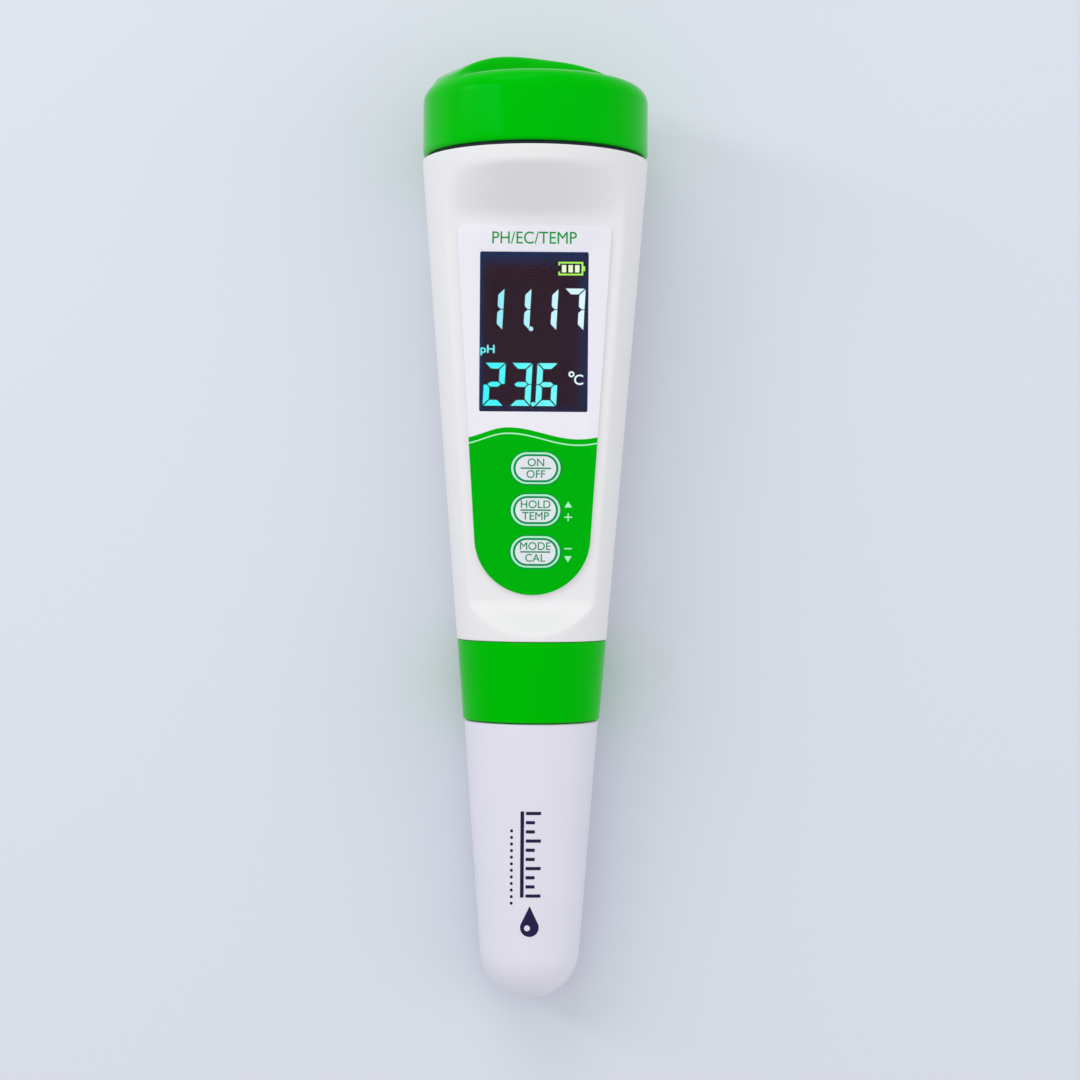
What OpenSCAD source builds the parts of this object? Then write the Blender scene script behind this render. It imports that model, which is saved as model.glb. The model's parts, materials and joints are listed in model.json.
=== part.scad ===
/* Water test pen: a tapered housing with a display and three keys, a screwed battery cap on top, */
/* and below it a plug-in electrode that a threaded collar holds, under a pull-off protective cap. */
/* Levels (names ending in _z) are millimetres from the tip, along the pen's axis. */

/* [Outside] */
// Half angle of the tapered body, in degrees
taper = 4.56; // [4.4:0.02:4.7]
// Radius that the taper has level with the tip
cone_start_r = 7.785; // [7.7:0.005:7.9]
// Level of the protective cap's rim
sleeve_top_z = 47.0; // [46.5:0.1:47.1]
// Level of the collar's lower edge
collar_low_z = 47.2; // [47.2:0.1:47.3]
// Level of the collar's upper edge
collar_top_z = 60.5; // [60:0.1:60.5]
// Level of the housing's lower edge
housing_low_z = 60.7; // [60.7:0.1:61]
// Level of the housing's shoulder
shoulder_z = 141.2; // [141:0.1:141.4]

/* [Battery cap] */
// Radius of the battery cap
lid_r = 19.0; // [18.9:0.05:19.2]
// Level of the battery cap's lower edge
lid_low_z = 141.92; // [141.92:0.01:142]
// Level of the battery cap's rim
lid_rim_z = 153.8; // [153:0.1:154]
// Level of the top of the grip ridge
ridge_top_z = 158.2; // [157:0.1:159]
// Turn of the grip ridge about the axis, in degrees
ridge_turn = 30; // [0:5:90]
// Depth of the scoops on both sides of the ridge
scoop_depth = 3.1; // [2:0.1:3.3]
// Rise of the cap in one turn
lid_pitch = 2.5; // [2.2:0.1:2.8]

/* [Front] */
// Distance from the axis to the lower end of the flat front
facet_low_d = 8.0; // [7.8:0.1:8.2]
// Level of the lower end of the flat front
facet_low_z = 66.6; // [66.4:0.1:66.8]
// Distance from the axis to the upper end of the flat front
facet_top_d = 10.5; // [10.3:0.1:10.7]
// Level of the upper end of the flat front
facet_top_z = 130.8; // [130.6:0.1:131]
// Width of the display window
window_w = 17.9; // [17:0.1:18.2]
// Height of the display window
window_h = 26.3; // [26:0.1:26.4]
// Thickness of the printed key overlay
overlay_t = 0.5; // [0.3:0.1:0.6]

/* [Keys] */
// Width of a key
key_w = 8.2; // [7.5:0.1:9]
// Height of a key
key_h = 5.25; // [5:0.05:5.4]
// Distance between neighbouring keys
key_pitch = 6.92; // [6.9:0.02:7.1]
// Travel of a key
key_travel = 0.4; // [0.2:0.05:0.45]

/* [Electrode] */
// Radius of the electrode barrel
barrel_r = 7.0; // [6.8:0.1:7]
// Level of the barrel's lower end
barrel_low_z = 14; // [13:0.5:15]
// Radius of the seat that the protective cap slides over
seat_r = 9.4; // [9.35:0.05:9.45]
// Radius of the pH glass bulb
bulb_r = 2.9; // [2.5:0.1:3]
// Rise of the collar in one turn
collar_pitch = 2.0; // [1.8:0.1:2.2]

/* [Batteries] */
// Radius of a button cell
cell_r = 5.8; // [5.75:0.05:5.85]
// Height of a button cell
cell_h = 5.4; // [5.3:0.05:5.4]
// Number of button cells in the stack
cell_count = 3; // [3:1:3]

/* [Hidden] */

$fn = 96;
small_fn = 32;
eps = 0.01;
far = 60;

// Outside form
function cone_r(z) = cone_start_r + z * tan(taper);
tip_r = cone_start_r * cos(taper) / (1 - sin(taper));
tip_blend_z = tip_r * (1 - sin(taper));
wall = 2.0;
collar_inset = 0.05;
sleeve_inset = 0.22;

// The pen lies on its back: its lowest line rests on z = 0 and its middle is at y = 0
lift = cone_start_r * cos(taper);
ridge_half_l = 17.5;
ridge_rise = ridge_top_z - lid_rim_z;
ridge_arch_r = (pow(ridge_half_l, 2) + pow(ridge_rise, 2)) / (2 * ridge_rise);
ridge_top_half_t = 3.2;
ridge_rim_half_t = 4.8;
end_low_y = tip_r * cos(taper) - tip_r;
end_top_y = (ridge_top_z - ridge_arch_r) * cos(taper)
    + ridge_arch_r * sqrt(pow(cos(taper), 2) + pow(sin(ridge_turn) * sin(taper), 2))
    + ridge_top_half_t * cos(ridge_turn) * sin(taper);
mid_y = (end_low_y + end_top_y) / 2;

// Battery cap, its thread and the neck it screws on
lid_fillet = 3.0;
lid_low_fillet = 0.6;
lid_bore_r = 16.5;
lid_ceiling_z = 148.3;
scoop_top_r = 15.6;
scoop_floor_r = 12.6;
neck_root_r = 15.2;
neck_crest_r = 16.2;
lid_crest_r = 15.5;
neck_bore_r = 13.6;
neck_top_z = 147.4;
neck_thread_z = 143.1;
neck_thread_turns = 1.4;
lid_thread_from = 0.45;
lid_thread_to = 1.85;
gasket_in_r = 15.25;
gasket_out_r = 18.1;
contact_t = 0.3;
lid_contact_r = 11.5;
thread_steps = 36;
thread_embed = 0.5;

// Flat front: depths count inwards from its surface, heights upwards from its lower end
facet_tilt = atan((facet_top_d - facet_low_d) / (facet_top_z - facet_low_z));
facet_len = (facet_top_z - facet_low_z) / cos(facet_tilt);
facet_wall = 1.8;
recess_rim_z = 138.9;
recess_rim_over = 0.3;
recess_half_w = 15.6;
recess_steps = 26;
recess_under = 0.8;
window_low = 31.95;
window_open_half = 9.2;
window_open_over = 0.25;
lens_t = 1.1;
lens_half = 10.1;
lens_over = 1.15;
overlay_top = 62.65;
overlay_top_half = 12.7;
overlay_corner_r = 1.4;
overlay_low_r = 9.65;
overlay_low_c = 11.25;

// Keys and the switches behind them
key_x = 0.5;
mode_key_at = 8.8;
hold_key_at = mode_key_at + key_pitch;
power_key_at = hold_key_at + key_pitch;
key_places = [mode_key_at, hold_key_at, power_key_at];
key_proud = 0.12;
key_t = 0.72;
key_gap = 0.1;
pocket_gap = 0.4;
key_overrun = 0.25;
pocket_depth = key_t - overlay_t - key_proud + key_travel + key_overrun;
plunger_r = 1.6;
plunger_hole_r = 2.0;
switch_face = 3.7;
switch_size = 5.2;
switch_button_r = 1.3;
switch_button_face = 2.9;
switch_button_t = 1.05;
switch_bore_r = 1.45;
switch_bore_depth = switch_button_face + switch_button_t - switch_face + key_travel
    + key_overrun;

// Display stack and board
lcd_face = 1.9;
lcd_t = 1.6;
lcd_half = 10.0;
lcd_low = 30.6;
lcd_top = 59.3;
frame_half = 10.9;
frame_rim = 0.9;
zebra_half = 8.8;
zebra_low = 30.7;
zebra_w = 1.9;
backlight_low = 32.9;
backlight_back = 5.4;
board_face = 5.7;
board_t = 1.2;
board_back = board_face + board_t;
board_low = 0.4;
board_step = 28.5;
board_top = 60.2;
board_low_half = 9.4;
board_top_half = 11.0;
screw_x = 6.5;
screw_rows = [3.2, 26.6];
screw_r = 0.95;
screw_head_r = 1.9;
screw_head_t = 1.2;
screw_l = 4.2;
boss_r = 2.1;
carrier_face = 8.6;
carrier_t = 1.4;
carrier_half = 8.5;
carrier_low = 1.2;
chip_size = 8;
chip_t = 1.0;

// Battery compartment
tube_low_z = 127.2;
tube_floor_t = 1.0;
tube_r = 7.4;
tube_bore_r = 6.1;
tube_flange_z = 145.0;
tube_flange_r = 13.4;
tube_flange_t = 1.4;
spring_plate_z = tube_low_z + tube_floor_t;
stack_gap = 0.02;
stack_top_z = lid_ceiling_z - contact_t - stack_gap;
cell_step = cell_h + stack_gap;
stack_low_z = stack_top_z - cell_count * cell_step + stack_gap;
cell_bead_r = 3.0;
cell_edge = 0.35;
spring_low_z = spring_plate_z + contact_t;
spring_wire_r = 0.25;
spring_low_r = 4.4;
spring_top_r = 2.6;
spring_turns = 3;
spring_steps = 24;
spring_sides = 6;
strip_x = 2.2;
strip_w = 2.0;
strip_y = -3.3;
strip_low_z = 124.6;
lead_x = 8.4;
lead_y = -2.85;
lead_r = 0.4;
lead_low_z = 125.5;
tab_x = 8.0;
tab_w = 3.0;

// Spigot and socket for the electrode
spigot_low_z = 51.7;
spigot_root_r = 9.7;
spigot_crest_r = 10.25;
spigot_bore_r = 8.2;
bulkhead_z = 60.9;
bulkhead_top_z = 62.5;
bulkhead_bore_r = 5.0;
cavity_top_z = 138.6;
spigot_thread_z = 53.2;
spigot_thread_turns = 2.5;
socket_r = 5.9;
socket_top_z = 67.0;
pin_count = 6;
pin_ring_r = 3.6;
pin_r = 0.45;
pin_hole_r = 0.55;
pin_top_z = 65.8;
pin_hole_top_z = 66.3;
pin_root_z = 56.5;
socket_lead_r = 0.3;
socket_lead_y = -0.8;
socket_lead_pitch = 1.5;
socket_lead_top_z = 69.6;

// Electrode
guard_bore_r = 5.7;
guard_floor_z = barrel_low_z + 7.5;
guard_slot_w = 3.4;
guard_slot_low = 1.6;
guard_slot_h = 4.6;
seat_low_z = 40;
seat_slope = 1.0;
seat_top_z = 47.05;
groove_half = 0.8;
seat_groove_z = 43.5;
seat_groove_r = 8.5;
seal_section_r = 0.58;
neck_groove_r = 9.0;
flange_low_z = 49.45;
flange_top_z = 51.5;
flange_r = 9.9;
plug_r = 7.9;
plug_top_z = 60.2;
plug_groove_z = 54.8;
plug_groove_r = 7.0;
stem_r = 2.2;
stem_bore_r = 2.3;
stem_top_z = 44.5;
stem_glass_t = 0.45;
bulb_z = 18.1;
wire_r = 0.35;
wire_bore_r = 1.2;
sensor_ring_r = 4.3;
sensor_top_z = 30;
sensor_gap = 0.03;
ec_pin_r = 0.75;
probe_r = 0.95;

// Collar
collar_lip_r = 9.15;
collar_lip_top_z = 49.3;
collar_bore_r = 10.5;
collar_crest_r = 9.95;
collar_thread_from = 0;
collar_thread_to = 2.5;

// Protective cap
sleeve_wall = 1.5;
sleeve_bore_r = 9.7;
sleeve_bore_low_z = 38.8;
sponge_top_z = 11;

// Colours
white_plastic = [0.88, 0.87, 0.90];
green_plastic = [0.02, 0.62, 0.05];
dark_rubber = [0.08, 0.09, 0.12];
gold = [0.85, 0.68, 0.25];
steel = [0.72, 0.73, 0.75];

// Places, in the pen's own axes (z up the axis, the front at -y), as the pen lies on its back
module lying() {
    translate([0, -mid_y, lift]) rotate([taper - 90, 0, 0]) children();
}

// Places along the flat front: x across, z up the front, y inwards from its surface
module on_facet() {
    translate([0, -facet_low_d, facet_low_z]) rotate([facet_tilt, 0, 0]) children();
}

// A flat outline, drawn across and up the front, from one depth to another
module front_sheet(from, to) {
    translate([0, to, 0]) rotate([90, 0, 0]) linear_extrude(to - from) children();
}

module front_block(half_w, low, high, from, to) {
    translate([-half_w, from, low]) cube([2 * half_w, to - from, high - low]);
}

// A round piece that stands inwards from the front
module front_rod(x, up, r, from, to) {
    translate([x, from, up]) rotate([-90, 0, 0]) cylinder(r = r, h = to - from);
}

module pill(grow) {
    round_r = key_h / 2 + grow;
    reach = (key_w - key_h) / 2;
    for (side = [-1, 1]) translate([side * reach, 0]) circle(r = round_r, $fn = 48);
    translate([-reach, -round_r]) square([2 * reach, 2 * round_r]);
}

// Joins a row of equal rings, each wound the same way, into one closed solid
module joined_rings(rings) {
    n = len(rings);
    k = len(rings[0]);
    polyhedron(
        points = [for (ring = rings) each ring],
        faces = concat(
            [[for (j = [k - 1 : -1 : 0]) j]],
            [for (i = [0 : n - 2]) for (j = [0 : k - 1])
                let (a = i * k + j, b = i * k + (j + 1) % k, c = b + k, d = a + k)
                each [[a, c, d], [a, b, c]]],
            [[for (j = [0 : k - 1]) (n - 1) * k + j]]),
        convexity = 8);
}

// A right-hand thread ridge with run-outs. It stands out of a wall at base_r towards crest_r,
// and passes level start_z + turn * pitch, from turn first to turn last.
module thread_ridge(base_r, crest_r, pitch, start_z, first, last) {
    side = sign(crest_r - base_r);
    root_r = base_r - side * thread_embed;
    steps = round((last - first) * thread_steps);
    run_out = thread_steps / 6;
    joined_rings([for (i = [0 : steps])
        let (
            turn = first + i / thread_steps,
            grown = min(1, i / run_out, (steps - i) / run_out),
            low_r = base_r - side * 0.15,
            top_r = low_r + (crest_r - low_r) * grown,
            section = [[root_r, -0.3], [top_r, -0.1], [top_r, 0.1], [root_r, 0.3]])
        [for (p = section) [
            p[0] * cos(360 * turn),
            p[0] * sin(360 * turn),
            start_z + turn * pitch + side * p[1] * pitch]]]);
}

// The slope above the front's hollow, from the straight upper edge of its floor to the round
// of the housing at the rim level. It goes on below the floor by a share of its length.
module upper_slope() {
    rim_r = cone_r(recess_rim_z) + recess_rim_over;
    under_z = facet_top_z - recess_under * (recess_rim_z - facet_top_z);
    joined_rings([for (i = [0 : recess_steps])
        let (
            x = recess_half_w * (2 * i / recess_steps - 1),
            front = sqrt(rim_r * rim_r - x * x),
            under = facet_top_d - recess_under * (front - facet_top_d))
        [[x, -under, under_z], [x, -front, recess_rim_z], [x, -front, recess_rim_z + 1],
         [x, 0, recess_rim_z + 1], [x, 0, under_z]]]);
}

// The hollow of the front, sunk by a depth: a flat floor between a plane slope at its lower end
// and the round slope at its upper end, both at 45 degrees in the middle
module recess(depth) {
    upper_shift = depth * sqrt(2);
    low_z = facet_low_z - upper_shift + depth;
    rim_z = recess_rim_z + upper_shift;
    function floor_y(z) = depth / cos(facet_tilt) - facet_low_d
        - (z - facet_low_z) * tan(facet_tilt);
    difference() {
        rotate([90, 0, 90]) linear_extrude(2 * far, center = true) polygon([
            [floor_y(low_z), low_z], [floor_y(rim_z), rim_z],
            [-far, rim_z], [-far, low_z - far - floor_y(low_z)]]);
        translate([0, 0, upper_shift]) upper_slope();
    }
}

module housing_inside() {
    difference() {
        translate([0, 0, bulkhead_top_z])
            cylinder(r1 = cone_r(bulkhead_top_z) - wall, r2 = cone_r(cavity_top_z) - wall,
                     h = cavity_top_z - bulkhead_top_z);
        recess(facet_wall);
    }
    translate([0, 0, cavity_top_z - eps]) cylinder(r = neck_bore_r, h = far);
    translate([0, 0, bulkhead_z - far]) cylinder(r = spigot_bore_r, h = far);
    translate([0, 0, bulkhead_z - eps])
        cylinder(r = bulkhead_bore_r, h = bulkhead_top_z - bulkhead_z + 2 * eps);
}

module housing() {
    color(white_plastic) lying() difference() {
        union() {
            difference() {
                translate([0, 0, housing_low_z])
                    cylinder(r1 = cone_r(housing_low_z), r2 = cone_r(shoulder_z),
                             h = shoulder_z - housing_low_z);
                recess(0);
            }
            translate([0, 0, spigot_low_z])
                cylinder(r = spigot_root_r, h = housing_low_z - spigot_low_z + eps);
            translate([0, 0, shoulder_z - eps])
                cylinder(r = neck_root_r, h = neck_top_z - shoulder_z + eps);
            thread_ridge(neck_root_r, neck_crest_r, lid_pitch, neck_thread_z,
                         0, neck_thread_turns);
            thread_ridge(spigot_root_r, spigot_crest_r, collar_pitch, spigot_thread_z,
                         0, spigot_thread_turns);
        }
        housing_inside();
        on_facet() {
            front_block(window_open_half, window_low - window_open_over,
                        window_low + window_h + window_open_over, -1, facet_wall + 1);
            front_block(lens_half, window_low - lens_over,
                        window_low + window_h + lens_over, -1, lens_t);
            for (up = key_places) {
                translate([key_x, 0, up]) front_sheet(-1, pocket_depth) pill(pocket_gap);
                front_rod(key_x, up, plunger_hole_r, 0, facet_wall + 1);
            }
        }
    }
}

module cap_gasket() {
    color(dark_rubber) lying() difference() {
        translate([0, 0, shoulder_z]) cylinder(r = gasket_out_r, h = 0.7);
        translate([0, 0, shoulder_z - 1]) cylinder(r = gasket_in_r, h = 3);
    }
}

module overlay_outline() {
    hull() {
        translate([0, overlay_low_c]) circle(r = overlay_low_r);
        for (side = [-1, 1])
            translate([side * (overlay_top_half - overlay_corner_r),
                       overlay_top - overlay_corner_r])
                circle(r = overlay_corner_r, $fn = small_fn);
    }
}

module key_overlay() {
    color(green_plastic) lying() on_facet() front_sheet(-overlay_t, 0) difference() {
        overlay_outline();
        translate([-window_w / 2, window_low]) square([window_w, window_h]);
        for (up = key_places) translate([key_x, up]) pill(key_gap);
    }
}

module window_lens() {
    color([0.2, 0.2, 0.25, 0.6]) lying() on_facet()
        front_block(lens_half, window_low - lens_over, window_low + window_h + lens_over,
                    0, lens_t);
}

module lcd_glass() {
    color([0.17, 0.12, 0.18]) lying() on_facet()
        front_block(lcd_half, lcd_low, lcd_top, lcd_face, lcd_face + lcd_t);
}

module backlight() {
    color([0.8, 0.9, 0.95]) lying() on_facet()
        front_block(lcd_half, backlight_low, lcd_top, lcd_face + lcd_t, backlight_back);
}

module lcd_frame() {
    color([0.92, 0.92, 0.92]) lying() on_facet() difference() {
        front_block(frame_half, lcd_low - frame_rim, lcd_top + frame_rim,
                    lcd_face, board_face);
        front_block(lcd_half, lcd_low, lcd_top, lcd_face - 1, board_face + 1);
    }
}

module zebra_strip() {
    color([0.85, 0.55, 0.65]) lying() on_facet()
        front_block(zebra_half, zebra_low, zebra_low + zebra_w, lcd_face + lcd_t, board_face);
}

module board_outline() {
    polygon([
        [-board_low_half, board_low], [board_low_half, board_low],
        [board_low_half, board_step], [board_top_half, board_step + 1.6],
        [board_top_half, board_top], [-board_top_half, board_top],
        [-board_top_half, board_step + 1.6], [-board_low_half, board_step]]);
}

module at_screws() {
    for (side = [-1, 1]) for (up = screw_rows) translate([side * screw_x, 0, up]) children();
}

module main_board() {
    color([0.05, 0.35, 0.15]) lying() on_facet() difference() {
        front_sheet(board_face, board_back) board_outline();
        at_screws() front_rod(0, 0, screw_r + 0.1, board_face - 1, board_back + 1);
    }
}

module control_chip() {
    color([0.1, 0.1, 0.11]) lying() on_facet() {
        front_block(chip_size / 2, 11, 11 + chip_size, board_back, board_back + chip_t);
        for (side = [-1, 1]) for (i = [0 : 7])
            translate([side * (chip_size / 2 + 0.5) - 0.5, board_back, 11.4 + i * 0.95])
                cube([1, 0.4, 0.4]);
    }
}

// Board parts on the back: a crystal, two round capacitors and rows of small chips
module board_parts() {
    color([0.62, 0.5, 0.35]) lying() on_facet() {
        translate([-7.5, board_back, 33]) cube([3, 1.2, 8]);
        for (up = [36, 44]) front_rod(5.5, up, 1.45, board_back, board_back + 1.5);
        for (i = [0 : 5]) translate([-2.6, board_back, 31 + i * 3.2]) cube([1.9, 0.6, 1.0]);
        for (i = [0 : 3]) translate([0.8, board_back, 32 + i * 3.2]) cube([1.3, 0.9, 2.0]);
    }
}

module switch_bodies() {
    color([0.15, 0.15, 0.16]) lying() on_facet() for (up = key_places) difference() {
        translate([key_x - switch_size / 2, switch_face, up - switch_size / 2])
            cube([switch_size, board_face - switch_face, switch_size]);
        front_rod(key_x, up, switch_bore_r, switch_face - 1, switch_face + switch_bore_depth);
    }
}

module board_carrier() {
    color([0.82, 0.82, 0.84]) lying() intersection() {
        on_facet() difference() {
            union() {
                front_block(carrier_half, carrier_low, facet_len, carrier_face,
                            carrier_face + carrier_t);
                at_screws() front_rod(0, 0, boss_r, board_back, carrier_face + carrier_t);
            }
            at_screws() front_rod(0, 0, screw_r + 0.02, board_back - 1, far);
            for (up = [14, 46]) front_block(4.5, up - 5, up + 5, carrier_face - 1, far);
        }
        translate([-far, -far, tube_low_z - 2 * far]) cube(2 * far);
    }
}

module board_screws() {
    color(steel) lying() on_facet() at_screws() difference() {
        union() {
            front_rod(0, 0, screw_head_r, board_face - screw_head_t, board_face);
            front_rod(0, 0, screw_r, board_face - eps, board_face + screw_l);
        }
        for (turn = [0, 90]) rotate([0, turn, 0])
            translate([-1.1, board_face - screw_head_t - 1, -0.2]) cube([2.2, 1.5, 0.4]);
    }
}

module battery_tube() {
    color([0.82, 0.82, 0.84]) lying() difference() {
        union() {
            translate([0, 0, tube_low_z])
                cylinder(r = tube_r, h = tube_flange_z + tube_flange_t - tube_low_z);
            translate([0, 0, tube_flange_z]) cylinder(r = tube_flange_r, h = tube_flange_t);
        }
        translate([0, 0, tube_low_z + tube_floor_t]) cylinder(r = tube_bore_r, h = far);
        translate([strip_x - 0.2, strip_y - 0.2, tube_low_z - 1])
            cube([strip_w + 0.4, 0.7, tube_floor_t + 1.1]);
        translate([lead_x, lead_y, tube_low_z - 1]) cylinder(r = lead_r + 0.1, h = far);
    }
}

module spring_contact() {
    color(steel) lying() {
        translate([0, 0, spring_plate_z]) cylinder(r = 5.4, h = contact_t);
        translate([strip_x, strip_y, strip_low_z])
            cube([strip_w, contact_t, spring_plate_z - strip_low_z + contact_t]);
    }
}

module battery_spring() {
    steps = spring_turns * spring_steps;
    low = spring_low_z + spring_wire_r;
    rise = stack_low_z - spring_low_z - 2 * spring_wire_r;
    color(steel) lying() joined_rings([for (i = [0 : steps])
        let (
            f = i / steps,
            a = 360 * spring_turns * f,
            r = spring_low_r + (spring_top_r - spring_low_r) * f)
        [for (k = [0 : spring_sides - 1])
            let (b = 360 * k / spring_sides, rr = r + spring_wire_r * cos(b))
            [rr * cos(a), rr * sin(a), low + rise * f + spring_wire_r * sin(b)]]]);
}

module positive_tab() {
    foot_z = tube_flange_z + tube_flange_t;
    reach_z = lid_ceiling_z - contact_t - 0.1;
    color(steel) lying() {
        translate([tab_x, -tab_w / 2, foot_z]) cube([4, tab_w, contact_t]);
        translate([tab_x, -tab_w / 2, foot_z]) cube([contact_t, tab_w, reach_z - foot_z]);
        translate([tab_x, -tab_w / 2, reach_z - contact_t]) cube([2.5, tab_w, contact_t]);
        translate([lead_x, lead_y, foot_z]) cylinder(r = 0.8, h = contact_t);
    }
}

module battery_lead() {
    color([0.75, 0.1, 0.1]) lying() translate([lead_x, lead_y, lead_low_z])
        cylinder(r = lead_r, h = tube_flange_z + tube_flange_t - lead_low_z, $fn = small_fn);
}

module at_pins() {
    for (i = [0 : pin_count - 1]) rotate([0, 0, 360 * (i + 0.5) / pin_count])
        translate([pin_ring_r, 0, 0]) children();
}

module connector_socket() {
    color([0.12, 0.12, 0.13]) lying() difference() {
        translate([0, 0, bulkhead_top_z])
            cylinder(r = socket_r, h = socket_top_z - bulkhead_top_z);
        at_pins() translate([0, 0, bulkhead_top_z - 1])
            cylinder(r = pin_hole_r, h = pin_hole_top_z - bulkhead_top_z + 1, $fn = small_fn);
    }
}

module socket_leads() {
    color(gold) lying() for (i = [0 : pin_count - 1])
        translate([(i - (pin_count - 1) / 2) * socket_lead_pitch, socket_lead_y, socket_top_z])
            cylinder(r = socket_lead_r, h = socket_lead_top_z - socket_top_z, $fn = small_fn);
}

module button_cell() {
    cylinder(r1 = cell_bead_r, r2 = cell_bead_r + cell_edge, h = cell_edge);
    translate([0, 0, cell_edge])
        cylinder(r1 = cell_r - cell_edge, r2 = cell_r, h = cell_edge);
    translate([0, 0, 2 * cell_edge]) cylinder(r = cell_r, h = cell_h - 3 * cell_edge);
    translate([0, 0, cell_h - cell_edge])
        cylinder(r1 = cell_r, r2 = cell_r - cell_edge, h = cell_edge);
}

module button_cells() {
    color(steel) lying() for (i = [0 : cell_count - 1])
        translate([0, 0, stack_low_z + i * cell_step]) button_cell();
}

// Outline of the battery cap's skirt and rim, with rounded edges
function lid_outline() = concat(
    [[0, lid_low_z]],
    [for (a = [-90 : 30 : 0])
        [lid_r - lid_low_fillet * (1 - cos(a)), lid_low_z + lid_low_fillet * (1 + sin(a))]],
    [for (a = [0 : 10 : 90])
        [lid_r - lid_fillet * (1 - cos(a)), lid_rim_z - lid_fillet * (1 - sin(a))]],
    [[0, lid_rim_z]]);

// The grip ridge: a bar across the cap with sloping flanks and an arched top
module grip_ridge(floor_z, spare) {
    flank = (ridge_rim_half_t - ridge_top_half_t) / ridge_rise;
    low_half_t = ridge_rim_half_t + (lid_rim_z - floor_z) * flank + spare;
    rotate([0, 0, ridge_turn]) intersection() {
        rotate([90, 0, 90]) translate([0, 0, -lid_r]) linear_extrude(2 * lid_r) polygon([
            [-low_half_t, floor_z], [low_half_t, floor_z],
            [ridge_top_half_t, ridge_top_z], [-ridge_top_half_t, ridge_top_z]]);
        translate([0, 0, ridge_top_z - ridge_arch_r]) rotate([90, 0, 0])
            cylinder(r = ridge_arch_r, h = 2 * lid_r, center = true, $fn = 180);
        translate([0, 0, floor_z]) cylinder(r = lid_r - lid_fillet / 2, h = far);
    }
}

module battery_cap() {
    scoop_floor_z = lid_rim_z - scoop_depth;
    color(green_plastic) lying() difference() {
        union() {
            difference() {
                rotate_extrude() polygon(lid_outline());
                translate([0, 0, scoop_floor_z])
                    cylinder(r1 = scoop_floor_r, r2 = scoop_top_r, h = scoop_depth + eps);
            }
            grip_ridge(scoop_floor_z - eps, 0);
        }
        difference() {
            translate([0, 0, lid_low_z - 1])
                cylinder(r = lid_bore_r, h = lid_ceiling_z - lid_low_z + 1);
            thread_ridge(lid_bore_r, lid_crest_r, lid_pitch, neck_thread_z - lid_pitch / 2,
                         lid_thread_from, lid_thread_to);
        }
    }
}

module cap_contact() {
    color(gold) lying() translate([0, 0, lid_ceiling_z - contact_t])
        cylinder(r = lid_contact_r, h = contact_t);
}

// A key of the overlay with the plunger that reaches through the housing to its switch
module key(up) {
    color([0.9, 0.93, 0.9]) lying() on_facet() {
        translate([key_x, 0, up])
            front_sheet(-overlay_t - key_proud, key_t - overlay_t - key_proud) pill(0);
        front_rod(key_x, up, plunger_r, -overlay_t, switch_button_face);
    }
}

module power_key() {
    key(power_key_at);
}

module hold_key() {
    key(hold_key_at);
}

module mode_key() {
    key(mode_key_at);
}

module switch_button(up) {
    color([0.2, 0.2, 0.2]) lying() on_facet()
        front_rod(key_x, up, switch_button_r, switch_button_face,
                  switch_button_face + switch_button_t);
}

module power_switch_button() {
    switch_button(power_key_at);
}

module hold_switch_button() {
    switch_button(hold_key_at);
}

module mode_switch_button() {
    switch_button(mode_key_at);
}

// Round outline of the electrode body, with its seal grooves and its guard's hollow
function electrode_outline() = [
    [guard_bore_r, barrel_low_z], [barrel_r, barrel_low_z],
    [barrel_r, seat_low_z - seat_slope], [seat_r, seat_low_z],
    [seat_r, seat_groove_z - groove_half], [seat_groove_r, seat_groove_z - groove_half],
    [seat_groove_r, seat_groove_z + groove_half], [seat_r, seat_groove_z + groove_half],
    [seat_r, seat_top_z], [neck_groove_r, seat_top_z],
    [neck_groove_r, flange_low_z], [flange_r, flange_low_z],
    [flange_r, flange_top_z], [plug_r, flange_top_z],
    [plug_r, plug_groove_z - groove_half], [plug_groove_r, plug_groove_z - groove_half],
    [plug_groove_r, plug_groove_z + groove_half], [plug_r, plug_groove_z + groove_half],
    [plug_r, plug_top_z], [wire_bore_r, plug_top_z],
    [wire_bore_r, stem_top_z + 0.5], [stem_bore_r, stem_top_z + 0.5],
    [stem_bore_r, guard_floor_z], [guard_bore_r, guard_floor_z]];

module at_sensor(turn) {
    rotate([0, 0, turn]) translate([sensor_ring_r, 0, 0]) children();
}

module sensor_hole(turn, r) {
    at_sensor(turn) translate([0, 0, guard_floor_z - 1])
        cylinder(r = r + sensor_gap, h = sensor_top_z - guard_floor_z + 1, $fn = small_fn);
}

module electrode_body() {
    color([0.2, 0.21, 0.23]) lying() difference() {
        rotate_extrude() polygon(electrode_outline());
        for (turn = [45, 135]) rotate([0, 0, turn])
            translate([-far / 2, -guard_slot_w / 2, barrel_low_z + guard_slot_low])
                cube([far, guard_slot_w, guard_slot_h]);
        for (turn = [0, 180]) sensor_hole(turn, ec_pin_r);
        sensor_hole(90, probe_r);
        sensor_hole(270, ec_pin_r);
        at_pins() translate([0, 0, pin_root_z])
            cylinder(r = pin_r + sensor_gap, h = far, $fn = small_fn);
    }
}

module ph_bulb() {
    color([0.8, 0.9, 0.95, 0.5]) lying() difference() {
        union() {
            translate([0, 0, bulb_z]) sphere(r = bulb_r);
            translate([0, 0, bulb_z]) cylinder(r = stem_r, h = stem_top_z - bulb_z);
        }
        translate([0, 0, bulb_z]) sphere(r = bulb_r - stem_glass_t);
        translate([0, 0, bulb_z])
            cylinder(r = stem_r - stem_glass_t, h = stem_top_z - bulb_z + 1);
    }
}

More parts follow.
